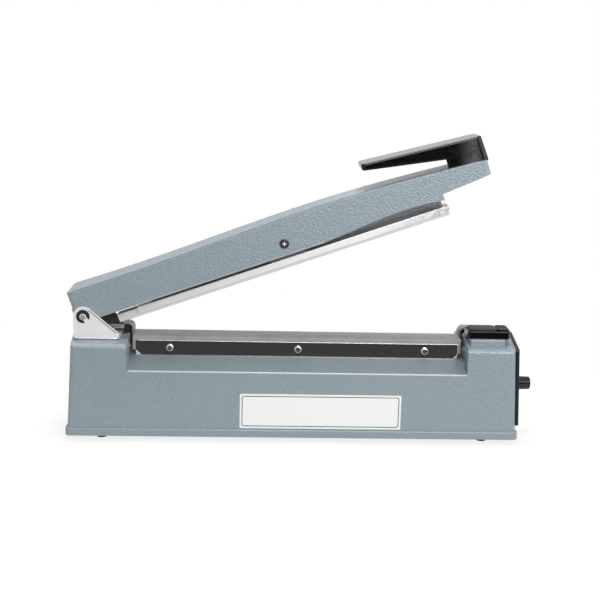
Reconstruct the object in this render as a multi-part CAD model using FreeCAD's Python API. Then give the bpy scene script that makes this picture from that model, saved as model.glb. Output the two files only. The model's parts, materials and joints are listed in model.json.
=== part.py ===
import FreeCAD, Part
import math
import os

# Bench-top hand impulse sealer for plastic bags, arm raised, in millimetres.
# +X runs along the seal towards the handle end, +Y points to the back, +Z is up.
# The origin is on the floor plane, in the middle of the whole machine's box.

V = FreeCAD.Vector
X_AXIS, Y_AXIS, Z_AXIS = V(1, 0, 0), V(0, 1, 0), V(0, 0, 1)

# Base housing
foot_height = 5.0
foot_radius = 6.0
foot_recess_fit = 0.4
foot_inset_x = 33.0
foot_inset_y = 14.5
foot_screw_length = 14.0
left_tower = 58.0
flange_depth = 84.0
flange_height = 7.5
flange_corner = 5.0
flange_ledge = 2.0
wall_top_z = 92.0
end_draft = 2.8
side_draft = 2.2
shoulder_slope = 14.5
ridge_half = 4.0
casting_wall = 3.5
bottom_plate_thickness = 1.5
plate_rim = 3.0
plate_fit = 0.15
body_corner = 4.0
pillar_radius = 5.5

# Bag recess between the towers, and the flat deck that carries the seal bar
recess_gap_left = 6.4
recess_gap_right = 5.6
deck_drop = 15.0
bag_rest_drop = 9.0
deck_margin = 1.8

# Land for the hinge bracket on the left tower, and the switch block on the right tower
land_rise = 3.2
land_margin = 1.3
land_start_gap = 6.5
block_setback = 3.0
block_length = 33.5
block_end_gap = 15.5
block_front_gap = 6.95
block_root = 12.0
block_rise = 0.48
block_round = 1.5

# Hinge
pivot_inset = 16.9
pivot_rise = 21.8
pin_radius = 3.0
pin_fit = 0.05
cheek_gap = 0.8
bracket_thickness = 2.0
bracket_bend = 1.9
bracket_post_gap = 0.2
bracket_nose = 3.5
bracket_screw_u = -4.0
bracket_screw_gap = 8.5
bracket_screw_length = 9.0
notch_gap = 2.0
notch_half = 9.0
notch_round = 3.0
cheek_top_radius = 9.2
cheek_turn = 50.0
clip_thickness = 0.8
pin_overhang = 1.6
open_angle = 19.5
lift_wire = 1.2
lift_turns = 8
lift_turn_gap = 0.15
lift_fit = 0.2

# Seal bar with its tape, ribbon, cloth and clamp strips
seal_length = 310.0
seal_height = 19.0
seal_bar_half = 12.2
tape_thickness = 0.3
tape_half = 6.0
ribbon_thickness = 0.2
ribbon_half = 1.5
eyelet_radius = 3.6
eyelet_thickness = 0.3
cloth_thickness = 0.3
cloth_drop = 14.0
cloth_tail = 3.0
strip_height = 14.0
strip_thickness = 1.2
strip_foot_gap = 0.4
strip_corner = 4.0
clamp_screw_inset = 32.3
clamp_head_radius = 3.4
clamp_screw_radius = 1.5
clamp_screw_length = 8.0
seal_bar_round = 1.5

# Element terminals at the two ends of the seal bar
post_gap = 3.5
post_length = 10.8
post_front = 7.2
post_back = 17.6
post_rise = 8.0
post_round = 6.0
post_wall = 2.2
post_hollow_depth = 6.0
pocket_front = -4.0
pocket_wall = 3.0
terminal_spring_radius = 3.0
terminal_wire = 0.8
terminal_turns = 7

# Arm, drawn closed and level: u runs from the pivot to the nose, w is up
arm_start = -8.0
nose_gap = 11.1
arm_half_start = 23.4
arm_half_end = 16.0
arm_wall = 3.2
arm_top_start = 25.5
arm_flat_u = 100.0
arm_crown_back = 139.0
arm_crown_w = 28.4
arm_top_knee_w = 24.0
arm_top_end = 20.7
arm_lip_back = 169.0
arm_bay_back = 86.0
arm_bay_w = -1.2
arm_step_back = 49.0
arm_step_w = -4.0
nose_w = 2.0
nose_end_w = 5.6
arm_edge_round = 1.6
rear_wall_drop = 6.2
rear_wall_inset = 8.0
nose_corner = 6.0
hinge_boss_radius = 12.5
hinge_boss_gap = 0.35
bush_radius = 5.0
boss_wall = 2.6
bush_start_gap = 1.5

# Press bar under the arm
arm_bar_gap = 4.6
bar_half = 9.0
bar_height = 6.2
bar_wall = 1.4
rubber_half = 5.5
rubber_proud = 3.5
rubber_face_gap = 0.3
rubber_overhang = 21.0
rubber_key_width, rubber_key_height = 1.2, 1.8
rock_offset = 2.5
rock_rise = 15.8
rock_screw_radius = 3.0
rock_head_radius = 4.4
rock_screw_end = 1.0
nut_radius, nut_height = 5.2, 4.0
spacer_wall, spacer_gap = 1.4, 0.2
saddle_length = 36.0
saddle_half = 8.0
saddle_thickness = 2.0
saddle_ear_wall = 3.5
saddle_screw_inset = 5.0
saddle_screw_length = 5.0

# Handle on the nose
handle_overhang = 1.4
handle_reach = 114.5
handle_free_top = 52.4
handle_free_under = 46.0
handle_foot_length = 37.6
handle_inner_w = 31.7
handle_back_gap = 1.2
handle_back_top = 42.8
handle_corner = 6.0
handle_edge_round = 1.8
finger_space_skew = 7.0
handle_screw_radius = 2.0
handle_screw_head_radius = 3.6
handle_screw_length = 9.0
handle_screw_inset = (9.0, 11.0)
handle_screw_gap = 0.5

# Switch housing and press cap on the right tower
switch_recess_overhang = 2.3
switch_overhang = 5.3
switch_front_gap = 3.0
switch_back = 5.4
switch_height = 7.4
switch_wall = 2.4
switch_floor = 1.6
switch_corner = 4.0
cap_rise = 1.4
cap_thickness = 2.6
cap_travel = 2.0
cap_fit = 0.35
cap_corner = 3.0
plunger_radius = 3.0
plunger_gap = 1.0
lamp_zone = 12.0
lamp_radius = 3.0
lamp_rise = 0.6

# Microswitch under the press cap, held by two legs of the switch housing
microswitch_length, microswitch_half, microswitch_height = 20.0, 3.2, 10.5
microswitch_drop = 5.0
button_radius, button_height = 1.4, 1.2
leg_thickness, leg_half = 2.0, 3.0
tag_pitch, tag_half, tag_length, tag_thickness = 7.0, 1.5, 5.5, 0.6

# End panel with the timer knob
panel_thickness = 3.0
panel_proud = 1.4
panel_foot_gap = 4.7
panel_side_gap = 1.5
panel_corner = 3.0
panel_screw_inset = 12.95
panel_screw_rise = 8.8
panel_screw_drop = 10.0
panel_screw_length = 8.0
knob_rise = 37.1
knob_radius = 6.7
knob_tip_radius = 6.2
knob_length = 18.6
knob_gap = 0.7
knob_bore_depth = 11.0
knob_flutes = 18
flute_radius = 0.75
shaft_radius = 3.0
shaft_fit = 0.08
bushing_wall = 2.0
pot_radius, pot_length, pot_back = 8.5, 11.0, 2.0
pot_tag_pitch, pot_tag_half, pot_tag_thickness, pot_tag_length = 4.0, 1.0, 0.8, 6.0

# Inner works
core_length, core_depth, core_height = 57.0, 38.0, 48.0
coil_overhang = 7.0
coil_corner = 4.0
transformer_inset = 98.0
strap_thickness, strap_foot, strap_half = 1.5, 12.0, 8.0
board_length, board_depth, board_thickness = 70.0, 46.0, 1.6
board_inset = 44.0
board_rise = 21.5
board_hole_inset = 5.0
relay_length, relay_depth, relay_height = 19.0, 16.0, 15.0
relay_x = -15.5
capacitor_radius, capacitor_height = 5.0, 18.0
capacitor_x, capacitor_y = 8.0, -10.0
chip_length, chip_depth, chip_height = 10.0, 7.0, 4.0
chip_x, chip_y = 7.0, 7.5
resistor_radius, resistor_length, resistor_pitch = 1.4, 10.0, 5.0
resistor_x, resistor_y = 18.0, -1.0
spacer_radius = 2.5
gland_radius = 6.0
gland_bore = 3.4
gland_offset = 2.0
gland_flange = 2.4
gland_tail = 1.6
gland_flange_thickness = 2.0
gland_rise = 17.5

# Bare label plate on the front wall
label_length, label_height = 153.5, 33.6
label_offset = 21.85
label_rise = 1.1
label_thickness = 0.4

# Small screws and general gaps
gap = 0.3
screw_radius = 1.5
screw_head_radius = 3.0
screw_head_height = 1.8

# Values worked out from the sizes above: the base and its two towers
right_tower = block_setback + block_length + block_end_gap
flange_length = left_tower + recess_gap_left + seal_length + recess_gap_right + right_tower
recess_left = flange_length / 2 - left_tower
recess_right = flange_length / 2 - right_tower
seal_left = recess_gap_left - recess_left
seal_right = seal_left + seal_length
seal_middle_x = (seal_left + seal_right) / 2
deck_z = wall_top_z - deck_drop
recess_foot_z = deck_z - bag_rest_drop
deck_half = seal_bar_half + cloth_thickness + strip_thickness + deck_margin
cloth_top_z = deck_z + seal_height
post_top_z = cloth_top_z + post_rise
flange_top_z = foot_height + flange_height
half_length = flange_length / 2 - flange_ledge
half_depth = flange_depth / 2 - flange_ledge
end_tan = math.tan(math.radians(end_draft))
side_tan = math.tan(math.radians(side_draft))
slope_tan = math.tan(math.radians(shoulder_slope))
shoulder_half = half_depth - (wall_top_z - flange_top_z) * side_tan
ridge_z = wall_top_z + (shoulder_half - ridge_half) * slope_tan
seal_bar_top = cloth_top_z - cloth_thickness
clamp_screw_pitch = seal_length / 2 - clamp_screw_inset
label_left = seal_middle_x + label_offset - label_length / 2
label_foot_z = flange_top_z + label_rise
label_head_z = label_foot_z + label_height

# The hinge, its bracket and its land
pivot_left = flange_length / 2 - pivot_inset
land_z = wall_top_z + land_rise
land_left = flange_length / 2 - land_start_gap
pivot_z = land_z + pivot_rise
cheek_gap_half = arm_half_start + cheek_gap
cheek_outer = cheek_gap_half + bracket_thickness
cheek_right = pivot_left + seal_left - post_gap - post_length - bracket_post_gap
land_half = cheek_outer + land_margin
pin_half = cheek_outer + clip_thickness + pin_overhang
foot_seat_z = foot_height * 0.45

# The arm, the press bar and the handle, in the arm's own u and w
rubber_face_w = cloth_top_z + rubber_face_gap - pivot_z
bar_start = pivot_left + seal_left
bar_length = seal_length
bar_top_w = rubber_face_w + rubber_proud + bar_height
rock_u = bar_start + bar_length / 2 - rock_offset
rock_w = bar_top_w + rock_rise
notch_u = bar_start - rubber_overhang - notch_gap
arm_end = pivot_left + flange_length / 2 - nose_gap
arm_crown_u = arm_end - arm_crown_back
arm_lip_u = arm_end - arm_lip_back
arm_lip_w = bar_top_w + arm_bar_gap
arm_bay_u = arm_end - arm_bay_back
arm_step_u = arm_end - arm_step_back
handle_half = arm_half_end + handle_overhang
handle_free_u = arm_end - handle_reach
handle_inner_u = arm_end - handle_foot_length
handle_back_u = arm_end + handle_back_gap

# The switch block with its cap and microswitch, the end panel and the inner works
block_left = recess_right + block_setback
block_right = block_left + block_length
block_half = shoulder_half - block_front_gap
block_top = ridge_z + block_rise
switch_left = block_left - switch_recess_overhang
switch_right = block_right + switch_overhang
switch_front = block_half - switch_front_gap
switch_rim_top = block_top + switch_height
cap_top_z = switch_rim_top + cap_rise
microswitch_top = block_top - microswitch_drop
leg_foot_z = microswitch_top - microswitch_height
plunger_foot_z = microswitch_top + button_height + gap + cap_travel
panel_foot_z = flange_top_z + panel_foot_gap
knob_z = flange_top_z + knob_rise
bushing_radius = shaft_radius + bushing_wall
plate_top = foot_height + bottom_plate_thickness
board_x = recess_right - board_inset
board_z = plate_top + board_rise
transformer_x = transformer_inset - recess_left
gland_x = recess_right + gland_offset
gland_z = flange_top_z + gland_rise
lift_radius = pin_radius + lift_fit + lift_wire / 2
lift_pitch = lift_wire + lift_turn_gap
lift_length = lift_pitch * lift_turns + lift_wire
lift_leg_up = arm_top_start - arm_wall - 3 * gap


def wall_x(z):
    """Half-length of the drafted end walls at height z."""
    return half_length - (z - flange_top_z) * end_tan


def wall_y(z):
    """Half-depth of the drafted long walls at height z."""
    return half_depth - (z - flange_top_z) * side_tan


knob_start_x = wall_x(knob_z) + panel_thickness + knob_gap
pot_front_x = wall_x(knob_z + pot_radius) - casting_wall - gap
shaft_end = pot_front_x - pot_length + pot_back
right_reach = knob_start_x + knob_length
left_reach = flange_length / 2
base_middle_x = (left_reach - right_reach) / 2

parts = {}


def box(x0, x1, y0, y1, z0, z1):
    """Block between two opposite corners."""
    return Part.makeBox(x1 - x0, y1 - y0, z1 - z0, V(x0, y0, z0))


def rod(radius, start, end):
    """Round bar between two points."""
    axis = end - start
    return Part.makeCylinder(radius, axis.Length, start, axis)


def prism(points, direction):
    """Flat outline carried along a direction."""
    face = Part.Face(Part.makePolygon(points + [points[0]]))
    return face.extrude(direction)


def profile_yz(outline, x0, x1):
    """Outline of (y, z) points carried from x0 to x1."""
    return prism([V(x0, y, z) for y, z in outline], V(x1 - x0, 0, 0))


def profile_xz(outline, y0, y1):
    """Outline of (x, z) points carried from y0 to y1."""
    return prism([V(x, y0, z) for x, z in outline], V(0, y1 - y0, 0))


def mirrored(outline):
    """Right half of an outline completed with its mirror image about the middle plane."""
    return outline + [(-a, b) for a, b in reversed(outline)]


def rounded(shape, radius, keep):
    """Shape with the edges that pass the test rounded."""
    edges = [edge for edge in shape.Edges if keep(edge)]
    return shape.makeFillet(radius, edges)


def parallel(edge, axis):
    """True for a straight edge that runs along the axis."""
    if not isinstance(edge.Curve, Part.Line):
        return False
    return abs(abs(edge.tangentAt(edge.FirstParameter).dot(axis)) - 1) < 0.01


def rounded_plate(x0, x1, y0, y1, z0, z1, radius):
    """Upright block with rounded corners."""
    return rounded(box(x0, x1, y0, y1, z0, z1), radius, lambda e: parallel(e, Z_AXIS))


def hang(name, shape):
    """Stores a piece under its node name."""
    parts[name] = shape


def group(shapes):
    """Several separate solids kept in one node."""
    return Part.makeCompound(shapes)


def pan_screw(head, inward, length, radius=screw_radius, head_radius=screw_head_radius):
    """Domed screw whose head seats at a point and whose shank runs inward."""
    shank = rod(radius, head, head + inward * length)
    dome = Part.makeCylinder(head_radius, screw_head_height, head, inward * -1)
    rim = [e for e in dome.Edges if abs(e.CenterOfMass.sub(head).dot(inward)) > screw_head_height / 2]
    dome = dome.makeFillet(screw_head_height * 0.55, [e for e in rim if e.Closed and not parallel(e, inward)])
    cross = Part.makeBox(head_radius * 1.2, 0.7, 0.9, V(-head_radius * 0.6, -0.35, -0.9))
    other = Part.makeBox(0.7, head_radius * 1.2, 0.9, V(-0.35, -head_radius * 0.6, -0.9))
    slot = cross.fuse(other)
    turn = FreeCAD.Rotation(Z_AXIS, inward * -1)
    slot.Placement = FreeCAD.Placement(head - inward * screw_head_height, turn)
    return shank.fuse(dome).cut(slot)


# Base housing


def housing_block(inset):
    """Drafted tower block, full or inset by a wall thickness."""
    low_z = flange_top_z - inset * 6
    top_half = shoulder_half - inset
    outline = mirrored([
        (wall_y(low_z) - inset, low_z),
        (top_half, wall_top_z - inset * 0.4),
        (ridge_half, ridge_z - inset * 1.1),
    ])
    ends = mirrored([
        (wall_x(low_z) - inset, low_z),
        (wall_x(ridge_z) - inset, ridge_z),
    ])
    long_form = profile_yz(outline, -half_length - 1, half_length + 1)
    return long_form.common(profile_xz(ends, -half_depth - 1, half_depth + 1))


def recess_cutter(offset):
    """Space above the deck and the sloped bag rest, lowered by an offset."""
    far = half_depth + 5
    top = ridge_z + 10
    slope = (deck_z - recess_foot_z) / (wall_y(recess_foot_z) - deck_half)
    outline = mirrored([
        (far, top),
        (far, recess_foot_z - offset - (far - wall_y(recess_foot_z)) * slope),
        (deck_half, deck_z - offset),
    ])
    return profile_yz(outline, -recess_left - offset, recess_right + offset)


def make_housing():
    """Cast housing with flange, towers, recess, land, switch block and hollow inside."""
    shell = housing_block(0.0)
    shell = rounded(shell, body_corner, lambda e: e.BoundBox.ZLength > 40
                    or parallel(e, X_AXIS) and abs(e.CenterOfMass.z - wall_top_z) < 0.1)
    shell = shell.cut(recess_cutter(0.0))
    flange = rounded_plate(-flange_length / 2, flange_length / 2, -flange_depth / 2, flange_depth / 2,
                           foot_height, flange_top_z, flange_corner)
    flange = rounded(flange, 1.2, lambda e: e.CenterOfMass.z > flange_top_z - 0.1)
    shell = shell.fuse(flange)
    land = box(-land_left, 1 - recess_left, -land_half, land_half, land_z, ridge_z + 5)
    shell = shell.cut(land)
    hollow = housing_block(casting_wall)
    hollow = hollow.cut(box(-half_length, half_length, -half_depth, half_depth,
                            land_z - casting_wall, ridge_z + 5))
    hollow = hollow.cut(recess_cutter(casting_wall))
    inner = rounded_plate(-flange_length / 2 + plate_rim, flange_length / 2 - plate_rim,
                          -flange_depth / 2 + plate_rim, flange_depth / 2 - plate_rim,
                          foot_height, foot_height + bottom_plate_thickness, flange_corner)
    switch_block = box(block_left, block_right, -block_half, block_half, wall_top_z - block_root, block_top)
    switch_block = rounded(switch_block, block_round,
                           lambda e: parallel(e, Z_AXIS) or e.CenterOfMass.z > block_top - 0.1)
    shell = shell.fuse(switch_block)
    shell = shell.cut(hollow).cut(inner)
    for side in (-1, 1):
        shell = shell.fuse(make_pocket(side))
    for x, y in foot_places():
        pillar = rod(pillar_radius, V(x, y, foot_height + bottom_plate_thickness), V(x, y, ridge_z))
        pillar = pillar.common(housing_block(casting_wall / 2))
        pillar = pillar.cut(box(-land_left, 1 - recess_left, -land_half, land_half, land_z - 1, ridge_z + 5))
        shell = shell.fuse(pillar.cut(rod(screw_radius, V(x, y, foot_height), V(x, y, foot_seat_z + foot_screw_length))))
    for cutter in housing_cutters():
        shell = shell.cut(cutter)
    return shell.removeSplitter()


def foot_places():
    """Centres of the four feet."""
    x = flange_length / 2 - foot_inset_x
    y = flange_depth / 2 - foot_inset_y
    return [(sx * x, sy * y) for sx in (-1, 1) for sy in (-1, 1)]


def housing_cutters():
    """Holes in the housing: terminals, switch well, timer shaft, gland and screws."""
    cuts = []
    for side in (-1, 1):
        x = terminal_x(side)
        cuts.append(box(x - post_length / 2 - gap, x + post_length / 2 + gap, pocket_front, post_back + gap,
                        deck_z, ridge_z + 5))
    x, y = cap_middle()
    reach = microswitch_length / 2 + leg_thickness + gap
    depth = max(microswitch_half, leg_half) + gap
    cuts.append(box(x - reach, x + reach, y - depth, y + depth, leg_foot_z - gap, block_top + 1))
    cuts.append(rod(bushing_radius + plate_fit, V(half_length - 20, 0, knob_z), V(half_length + 5, 0, knob_z)))
    cuts.append(rod(gland_radius, V(gland_x, 0, gland_z), V(gland_x, half_depth + 5, gland_z)))
    for x, y in bracket_holes():
        cuts.append(rod(screw_radius, V(x, y, land_z - casting_wall - 1), V(x, y, land_z + 1)))
    for y, z in panel_holes():
        seat, inward = panel_seat(y, z)
        cuts.append(rod(screw_radius, seat, seat + inward * (panel_screw_length + gap)))
    return cuts


def make_pocket(side):
    """Walls and floor of the terminal pocket in the inner end of a tower."""
    x = terminal_x(side)
    reach = post_length / 2 + gap + pocket_wall
    wall = -recess_left if side < 0 else recess_right
    x0, x1 = (x - reach, wall) if side < 0 else (wall, x + reach)
    return box(x0, x1, pocket_front - pocket_wall, post_back + gap + pocket_wall, deck_z - casting_wall, wall_top_z)


def terminal_x(side):
    """Middle of the terminal post at one end of the seal bar."""
    end = seal_left if side < 0 else seal_right
    return end + side * (post_gap + post_length / 2)


def bracket_holes():
    """Screw places in the hinge bracket's floor."""
    return [(-pivot_left + u, 0.0) for u in (bracket_screw_u, notch_u - bracket_screw_gap)]


def panel_holes():
    """Screw places in the end panel."""
    reach = shoulder_half - panel_screw_inset
    rows = (panel_foot_z + panel_screw_rise, wall_top_z - panel_screw_drop)
    return [(side * reach, z) for z in rows for side in (-1, 1)]


def panel_seat(y, z):
    """Seat of a panel screw on the drafted end panel, and the way its shank points."""
    tilt = FreeCAD.Rotation(Y_AXIS, -end_draft)
    seat = V(half_length, y, flange_top_z) + tilt.multVec(V(panel_thickness, 0, z - flange_top_z))
    return seat, tilt.multVec(X_AXIS * -1)


def cap_left():
    """Left face of the press cap."""
    return switch_left + switch_wall + cap_fit


def cap_right():
    """Right face of the press cap, short of the lamp."""
    return switch_right - lamp_zone


def cap_middle():
    """Plan position of the press cap's middle."""
    return (cap_left() + cap_right()) / 2, -(switch_front + switch_back) / 2


def lamp_x():
    """Middle of the lamp in the fixed end of the switch housing."""
    return switch_right - lamp_zone / 2 - 0.4


def lamp_y():
    """Depth of the lamp."""
    return -switch_back - lamp_radius - 2.6


hang("base_housing", make_housing())

plate_x = flange_length / 2 - plate_rim - plate_fit
plate_y = flange_depth / 2 - plate_rim - plate_fit
bottom_plate = rounded_plate(-plate_x, plate_x, -plate_y, plate_y, foot_height,
                             foot_height + bottom_plate_thickness, flange_corner)
feet = []
foot_screws = []
for x, y in foot_places():
    foot = Part.makeCone(foot_radius - 1.0, foot_radius, foot_height, V(x, y, 0))
    foot = foot.cut(rod(screw_head_radius + foot_recess_fit, V(x, y, 0), V(x, y, foot_seat_z)))
    foot = foot.cut(rod(screw_radius, V(x, y, 0), V(x, y, foot_height)))
    feet.append(foot)
    foot_screws.append(pan_screw(V(x, y, foot_seat_z), Z_AXIS, foot_screw_length))
    bottom_plate = bottom_plate.cut(rod(screw_radius, V(x, y, 0), V(x, y, flange_top_z)))
hang("bottom_plate", bottom_plate)
hang("rubber_feet", group(feet))
hang("foot_screws", group(foot_screws))

# Hinge bracket, pin, clips and lift spring


def cheek_outline():
    """Cheek seen from the front: upright left edge, round top at the pin, sloped right edge."""
    foot_z = land_z + bracket_thickness
    turn = math.radians(cheek_turn)
    left = V(-pivot_left - cheek_top_radius, 0, pivot_z)
    top = V(-pivot_left, 0, pivot_z + cheek_top_radius)
    over = V(-pivot_left + cheek_top_radius * math.sin(turn), 0, pivot_z + cheek_top_radius * math.cos(turn))
    corner = V(-pivot_left + cheek_right, 0, foot_z + bracket_nose)
    foot_right = V(-pivot_left + cheek_right, 0, land_z)
    foot_left = V(-pivot_left - cheek_top_radius, 0, land_z)
    edges = [
        Part.Arc(left, top, over).toShape(),
        Part.makeLine(over, corner),
        Part.makeLine(corner, foot_right),
        Part.makeLine(foot_right, foot_left),
        Part.makeLine(foot_left, left),
    ]
    return Part.Face(Part.Wire(edges))


def make_bracket():
    """Folded zinc-plated bracket: a floor and two cheeks."""
    cheeks = []
    for side in (-1, 1):
        face = cheek_outline()
        start = -cheek_outer if side < 0 else cheek_gap_half
        face.translate(V(0, start, 0))
        cheeks.append(face.extrude(V(0, bracket_thickness, 0)))
    floor = box(-pivot_left - cheek_top_radius, -pivot_left + cheek_right, -cheek_outer, cheek_outer,
                land_z, land_z + bracket_thickness)
    notch = rounded_plate(-pivot_left + notch_u, -pivot_left + cheek_right + 5, -notch_half, notch_half,
                          land_z - 1, land_z + bracket_thickness + 1, notch_round)
    bracket = cheeks[0].fuse(cheeks[1]).fuse(floor).removeSplitter()
    bends = lambda e: (parallel(e, X_AXIS) and abs(e.CenterOfMass.z - land_z) < 0.01
                       and abs(abs(e.CenterOfMass.y) - cheek_outer) < 0.01)
    bracket = rounded(bracket, bracket_bend, bends).cut(notch)
    bracket = bracket.cut(rod(pin_radius + pin_fit, V(-pivot_left, -50, pivot_z), V(-pivot_left, 50, pivot_z)))
    for x, y in bracket_holes():
        bracket = bracket.cut(rod(screw_radius, V(x, y, land_z - 1), V(x, y, land_z + 5)))
    return bracket


def make_clip(side):
    """Spring clip in the pin's groove, open towards the lower right."""
    y = side * cheek_outer
    middle = V(-pivot_left, y, pivot_z)
    outward = V(0, side, 0)
    ring = Part.makeCylinder(pin_radius * 2.1, clip_thickness, middle, outward)
    ring = ring.cut(Part.makeCylinder(pin_radius * 0.86, clip_thickness, middle, outward))
    mouth = box(0, pin_radius * 3, -60, 60, -pin_radius * 0.8, pin_radius * 0.8)
    mouth.rotate(V(0, 0, 0), Y_AXIS, 52)
    mouth.translate(V(-pivot_left, 0, pivot_z))
    return ring.cut(mouth)


def make_pin():
    """Hinge pin with a groove for each clip."""
    pin = rod(pin_radius, V(-pivot_left, -pin_half, pivot_z), V(-pivot_left, pin_half, pivot_z))
    pin = pin.makeChamfer(0.5, [e for e in pin.Edges if e.Closed])
    for side in (-1, 1):
        start = V(-pivot_left, side * cheek_outer, pivot_z)
        groove = Part.makeCylinder(pin_radius + 1, clip_thickness, start, V(0, side, 0))
        groove = groove.cut(Part.makeCylinder(pin_radius * 0.86, clip_thickness, start, V(0, side, 0)))
        pin = pin.cut(groove)
    return pin


def coil(radius, pitch, turns, wire, start, axis, legs=(0.0, 0.0)):
    """Round wire wound up an axis in half turns, each an arc in its own tilted plane, with straight legs."""
    path = []
    if legs[0]:
        path.append(Part.makeLine(V(radius, -legs[0], 0), V(radius, 0, 0)))
    for half in range(2 * turns):
        side = 1 if half % 2 == 0 else -1
        low = half * pitch / 2
        path.append(Part.Arc(V(side * radius, 0, low), V(0, side * radius, low + pitch / 4),
                             V(-side * radius, 0, low + pitch / 2)).toShape())
    if legs[1]:
        path.append(Part.makeLine(V(radius, 0, pitch * turns), V(radius, legs[1], pitch * turns)))
    section = Part.Wire([Part.makeCircle(wire / 2, V(radius, -legs[0], 0), Y_AXIS)])
    spring = Part.Wire(path).makePipeShell([section], True, False)
    spring.Placement = FreeCAD.Placement(start, FreeCAD.Rotation(Z_AXIS, axis))
    return spring


def make_lift_spring():
    """Torsion spring round the hinge pin: one leg goes up into the arm, one stands on the bracket's floor."""
    start = V(-pivot_left, -lift_pitch * lift_turns / 2, pivot_z)
    leg_down = pivot_z - land_z - bracket_thickness - plate_fit
    return coil(lift_radius, lift_pitch, lift_turns, lift_wire, start, Y_AXIS, (lift_leg_up, leg_down))


hang("hinge_bracket", make_bracket())
hang("bracket_screws", group([pan_screw(V(x, y, land_z + bracket_thickness), Z_AXIS * -1, bracket_screw_length)
                              for x, y in bracket_holes()]))
hang("hinge_pin", make_pin())
hang("pin_clips", group([make_clip(-1), make_clip(1)]))

hang("lift_spring", make_lift_spring())

# Seal bar, tape, ribbon, cloth, clamp strips and their screws


def clamp_screw_places():
    """X places of the clamp screws, spread evenly about the seal's middle."""
    return [seal_middle_x + k * clamp_screw_pitch for k in (-1, 0, 1)]


strip_top_z = deck_z + strip_foot_gap + strip_height
strip_middle_z = deck_z + strip_foot_gap + strip_height / 2
seal_bar = box(seal_left, seal_right, -seal_bar_half, seal_bar_half, deck_z, seal_bar_top)
seal_bar = rounded(seal_bar, seal_bar_round, lambda e: parallel(e, X_AXIS) and e.CenterOfMass.z > seal_bar_top - 0.1)
tape_depth = tape_thickness + ribbon_thickness
seal_bar = seal_bar.cut(box(seal_left, seal_right, -tape_half, tape_half, seal_bar_top - tape_depth, cloth_top_z))
cloth_foot_z = cloth_top_z - cloth_drop
cloth_half = seal_bar_half + cloth_thickness
cloth = box(seal_left - cloth_tail, seal_right + cloth_tail, -cloth_half, cloth_half, cloth_foot_z, cloth_top_z)
cloth = rounded(cloth, seal_bar_round + cloth_thickness,
                lambda e: parallel(e, X_AXIS) and e.CenterOfMass.z > cloth_top_z - 0.1)
cloth_inner = box(seal_left - 10, seal_right + 10, -seal_bar_half, seal_bar_half, deck_z, seal_bar_top)
cloth_inner = rounded(cloth_inner, seal_bar_round,
                      lambda e: parallel(e, X_AXIS) and e.CenterOfMass.z > seal_bar_top - 0.1)
cloth = cloth.cut(cloth_inner)
tape = box(seal_left, seal_right, -tape_half, tape_half, seal_bar_top - tape_depth,
           seal_bar_top - ribbon_thickness)
ribbon_foot_z = seal_bar_top - ribbon_thickness
ribbon = box(terminal_x(-1), terminal_x(1), -ribbon_half, ribbon_half, ribbon_foot_z, seal_bar_top)
for side in (-1, 1):
    ribbon = ribbon.fuse(rod(eyelet_radius, V(terminal_x(side), 0, ribbon_foot_z),
                             V(terminal_x(side), 0, ribbon_foot_z + eyelet_thickness)))


def make_strip(side):
    """Polished clamp strip with cut lower corners on one side of the seal bar."""
    outer = cloth_half + strip_thickness
    y0, y1 = (-outer, -cloth_half) if side < 0 else (cloth_half, outer)
    foot = deck_z + strip_foot_gap
    outline = [
        (seal_left + strip_corner * 1.4, foot), (seal_right - strip_corner * 0.8, foot),
        (seal_right, foot + strip_corner), (seal_right, strip_top_z),
        (seal_left, strip_top_z), (seal_left, foot + strip_corner),
    ]
    return profile_xz(outline, y0, y1)


strips = {}
clamp_screws = []
for side, place in ((-1, "front"), (1, "rear")):
    strip = make_strip(side)
    for x in clamp_screw_places():
        face = V(x, side * (cloth_half + strip_thickness), strip_middle_z)
        inward = V(0, -side, 0)
        hole = rod(clamp_screw_radius, face, face + inward * clamp_screw_length)
        strip, cloth, seal_bar = strip.cut(hole), cloth.cut(hole), seal_bar.cut(hole)
        clamp_screws.append(pan_screw(face, inward, clamp_screw_length, clamp_screw_radius, clamp_head_radius))
    hang("clamp_strip_" + place, strip)
hang("seal_bar", seal_bar)
hang("backing_tape", tape)
hang("heating_ribbon", ribbon)
hang("seal_cloth", cloth)
hang("clamp_screws", group(clamp_screws))

# Terminals at the ends of the heating ribbon


def make_post(side):
    """Rounded insulating post that carries one end of the ribbon's tension spring."""
    x = terminal_x(side)
    post = box(x - post_length / 2, x + post_length / 2, post_front, post_back, deck_z, post_top_z)
    inner_top = lambda e: (parallel(e, Y_AXIS) and e.CenterOfMass.z > post_top_z - 0.1
                           and (e.CenterOfMass.x - x) * side < 0)
    post = rounded(post, post_round, inner_top)
    post = rounded(post, 1.0, lambda e: e.CenterOfMass.z > post_top_z - 0.1 and parallel(e, X_AXIS))
    open_x, wall_x_inner = x + side * post_length, x - side * (post_length / 2 - post_wall)
    x0, x1 = sorted((open_x, wall_x_inner))
    hollow = box(x0, x1, post_front - 1, post_front + post_hollow_depth, cloth_foot_z, post_top_z - post_wall)
    arch = lambda e: (parallel(e, Y_AXIS) and e.CenterOfMass.z > post_top_z - post_wall - 0.1
                      and abs(e.CenterOfMass.x - wall_x_inner) < 0.1)
    return post.cut(rounded(hollow, post_round - post_wall, arch))


for side, place in ((-1, "left"), (1, "right")):
    hang("terminal_post_" + place, make_post(side))
terminal_pitch = (seal_bar_top - ribbon_thickness - deck_z - terminal_wire - 2 * gap) / terminal_turns
hang("terminal_springs", group([
    coil(terminal_spring_radius - terminal_wire / 2, terminal_pitch, terminal_turns, terminal_wire,
         V(terminal_x(side), 0, deck_z + gap + terminal_wire / 2), Z_AXIS) for side in (-1, 1)]))

# Arm, built closed and level about the pivot, then raised


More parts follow.
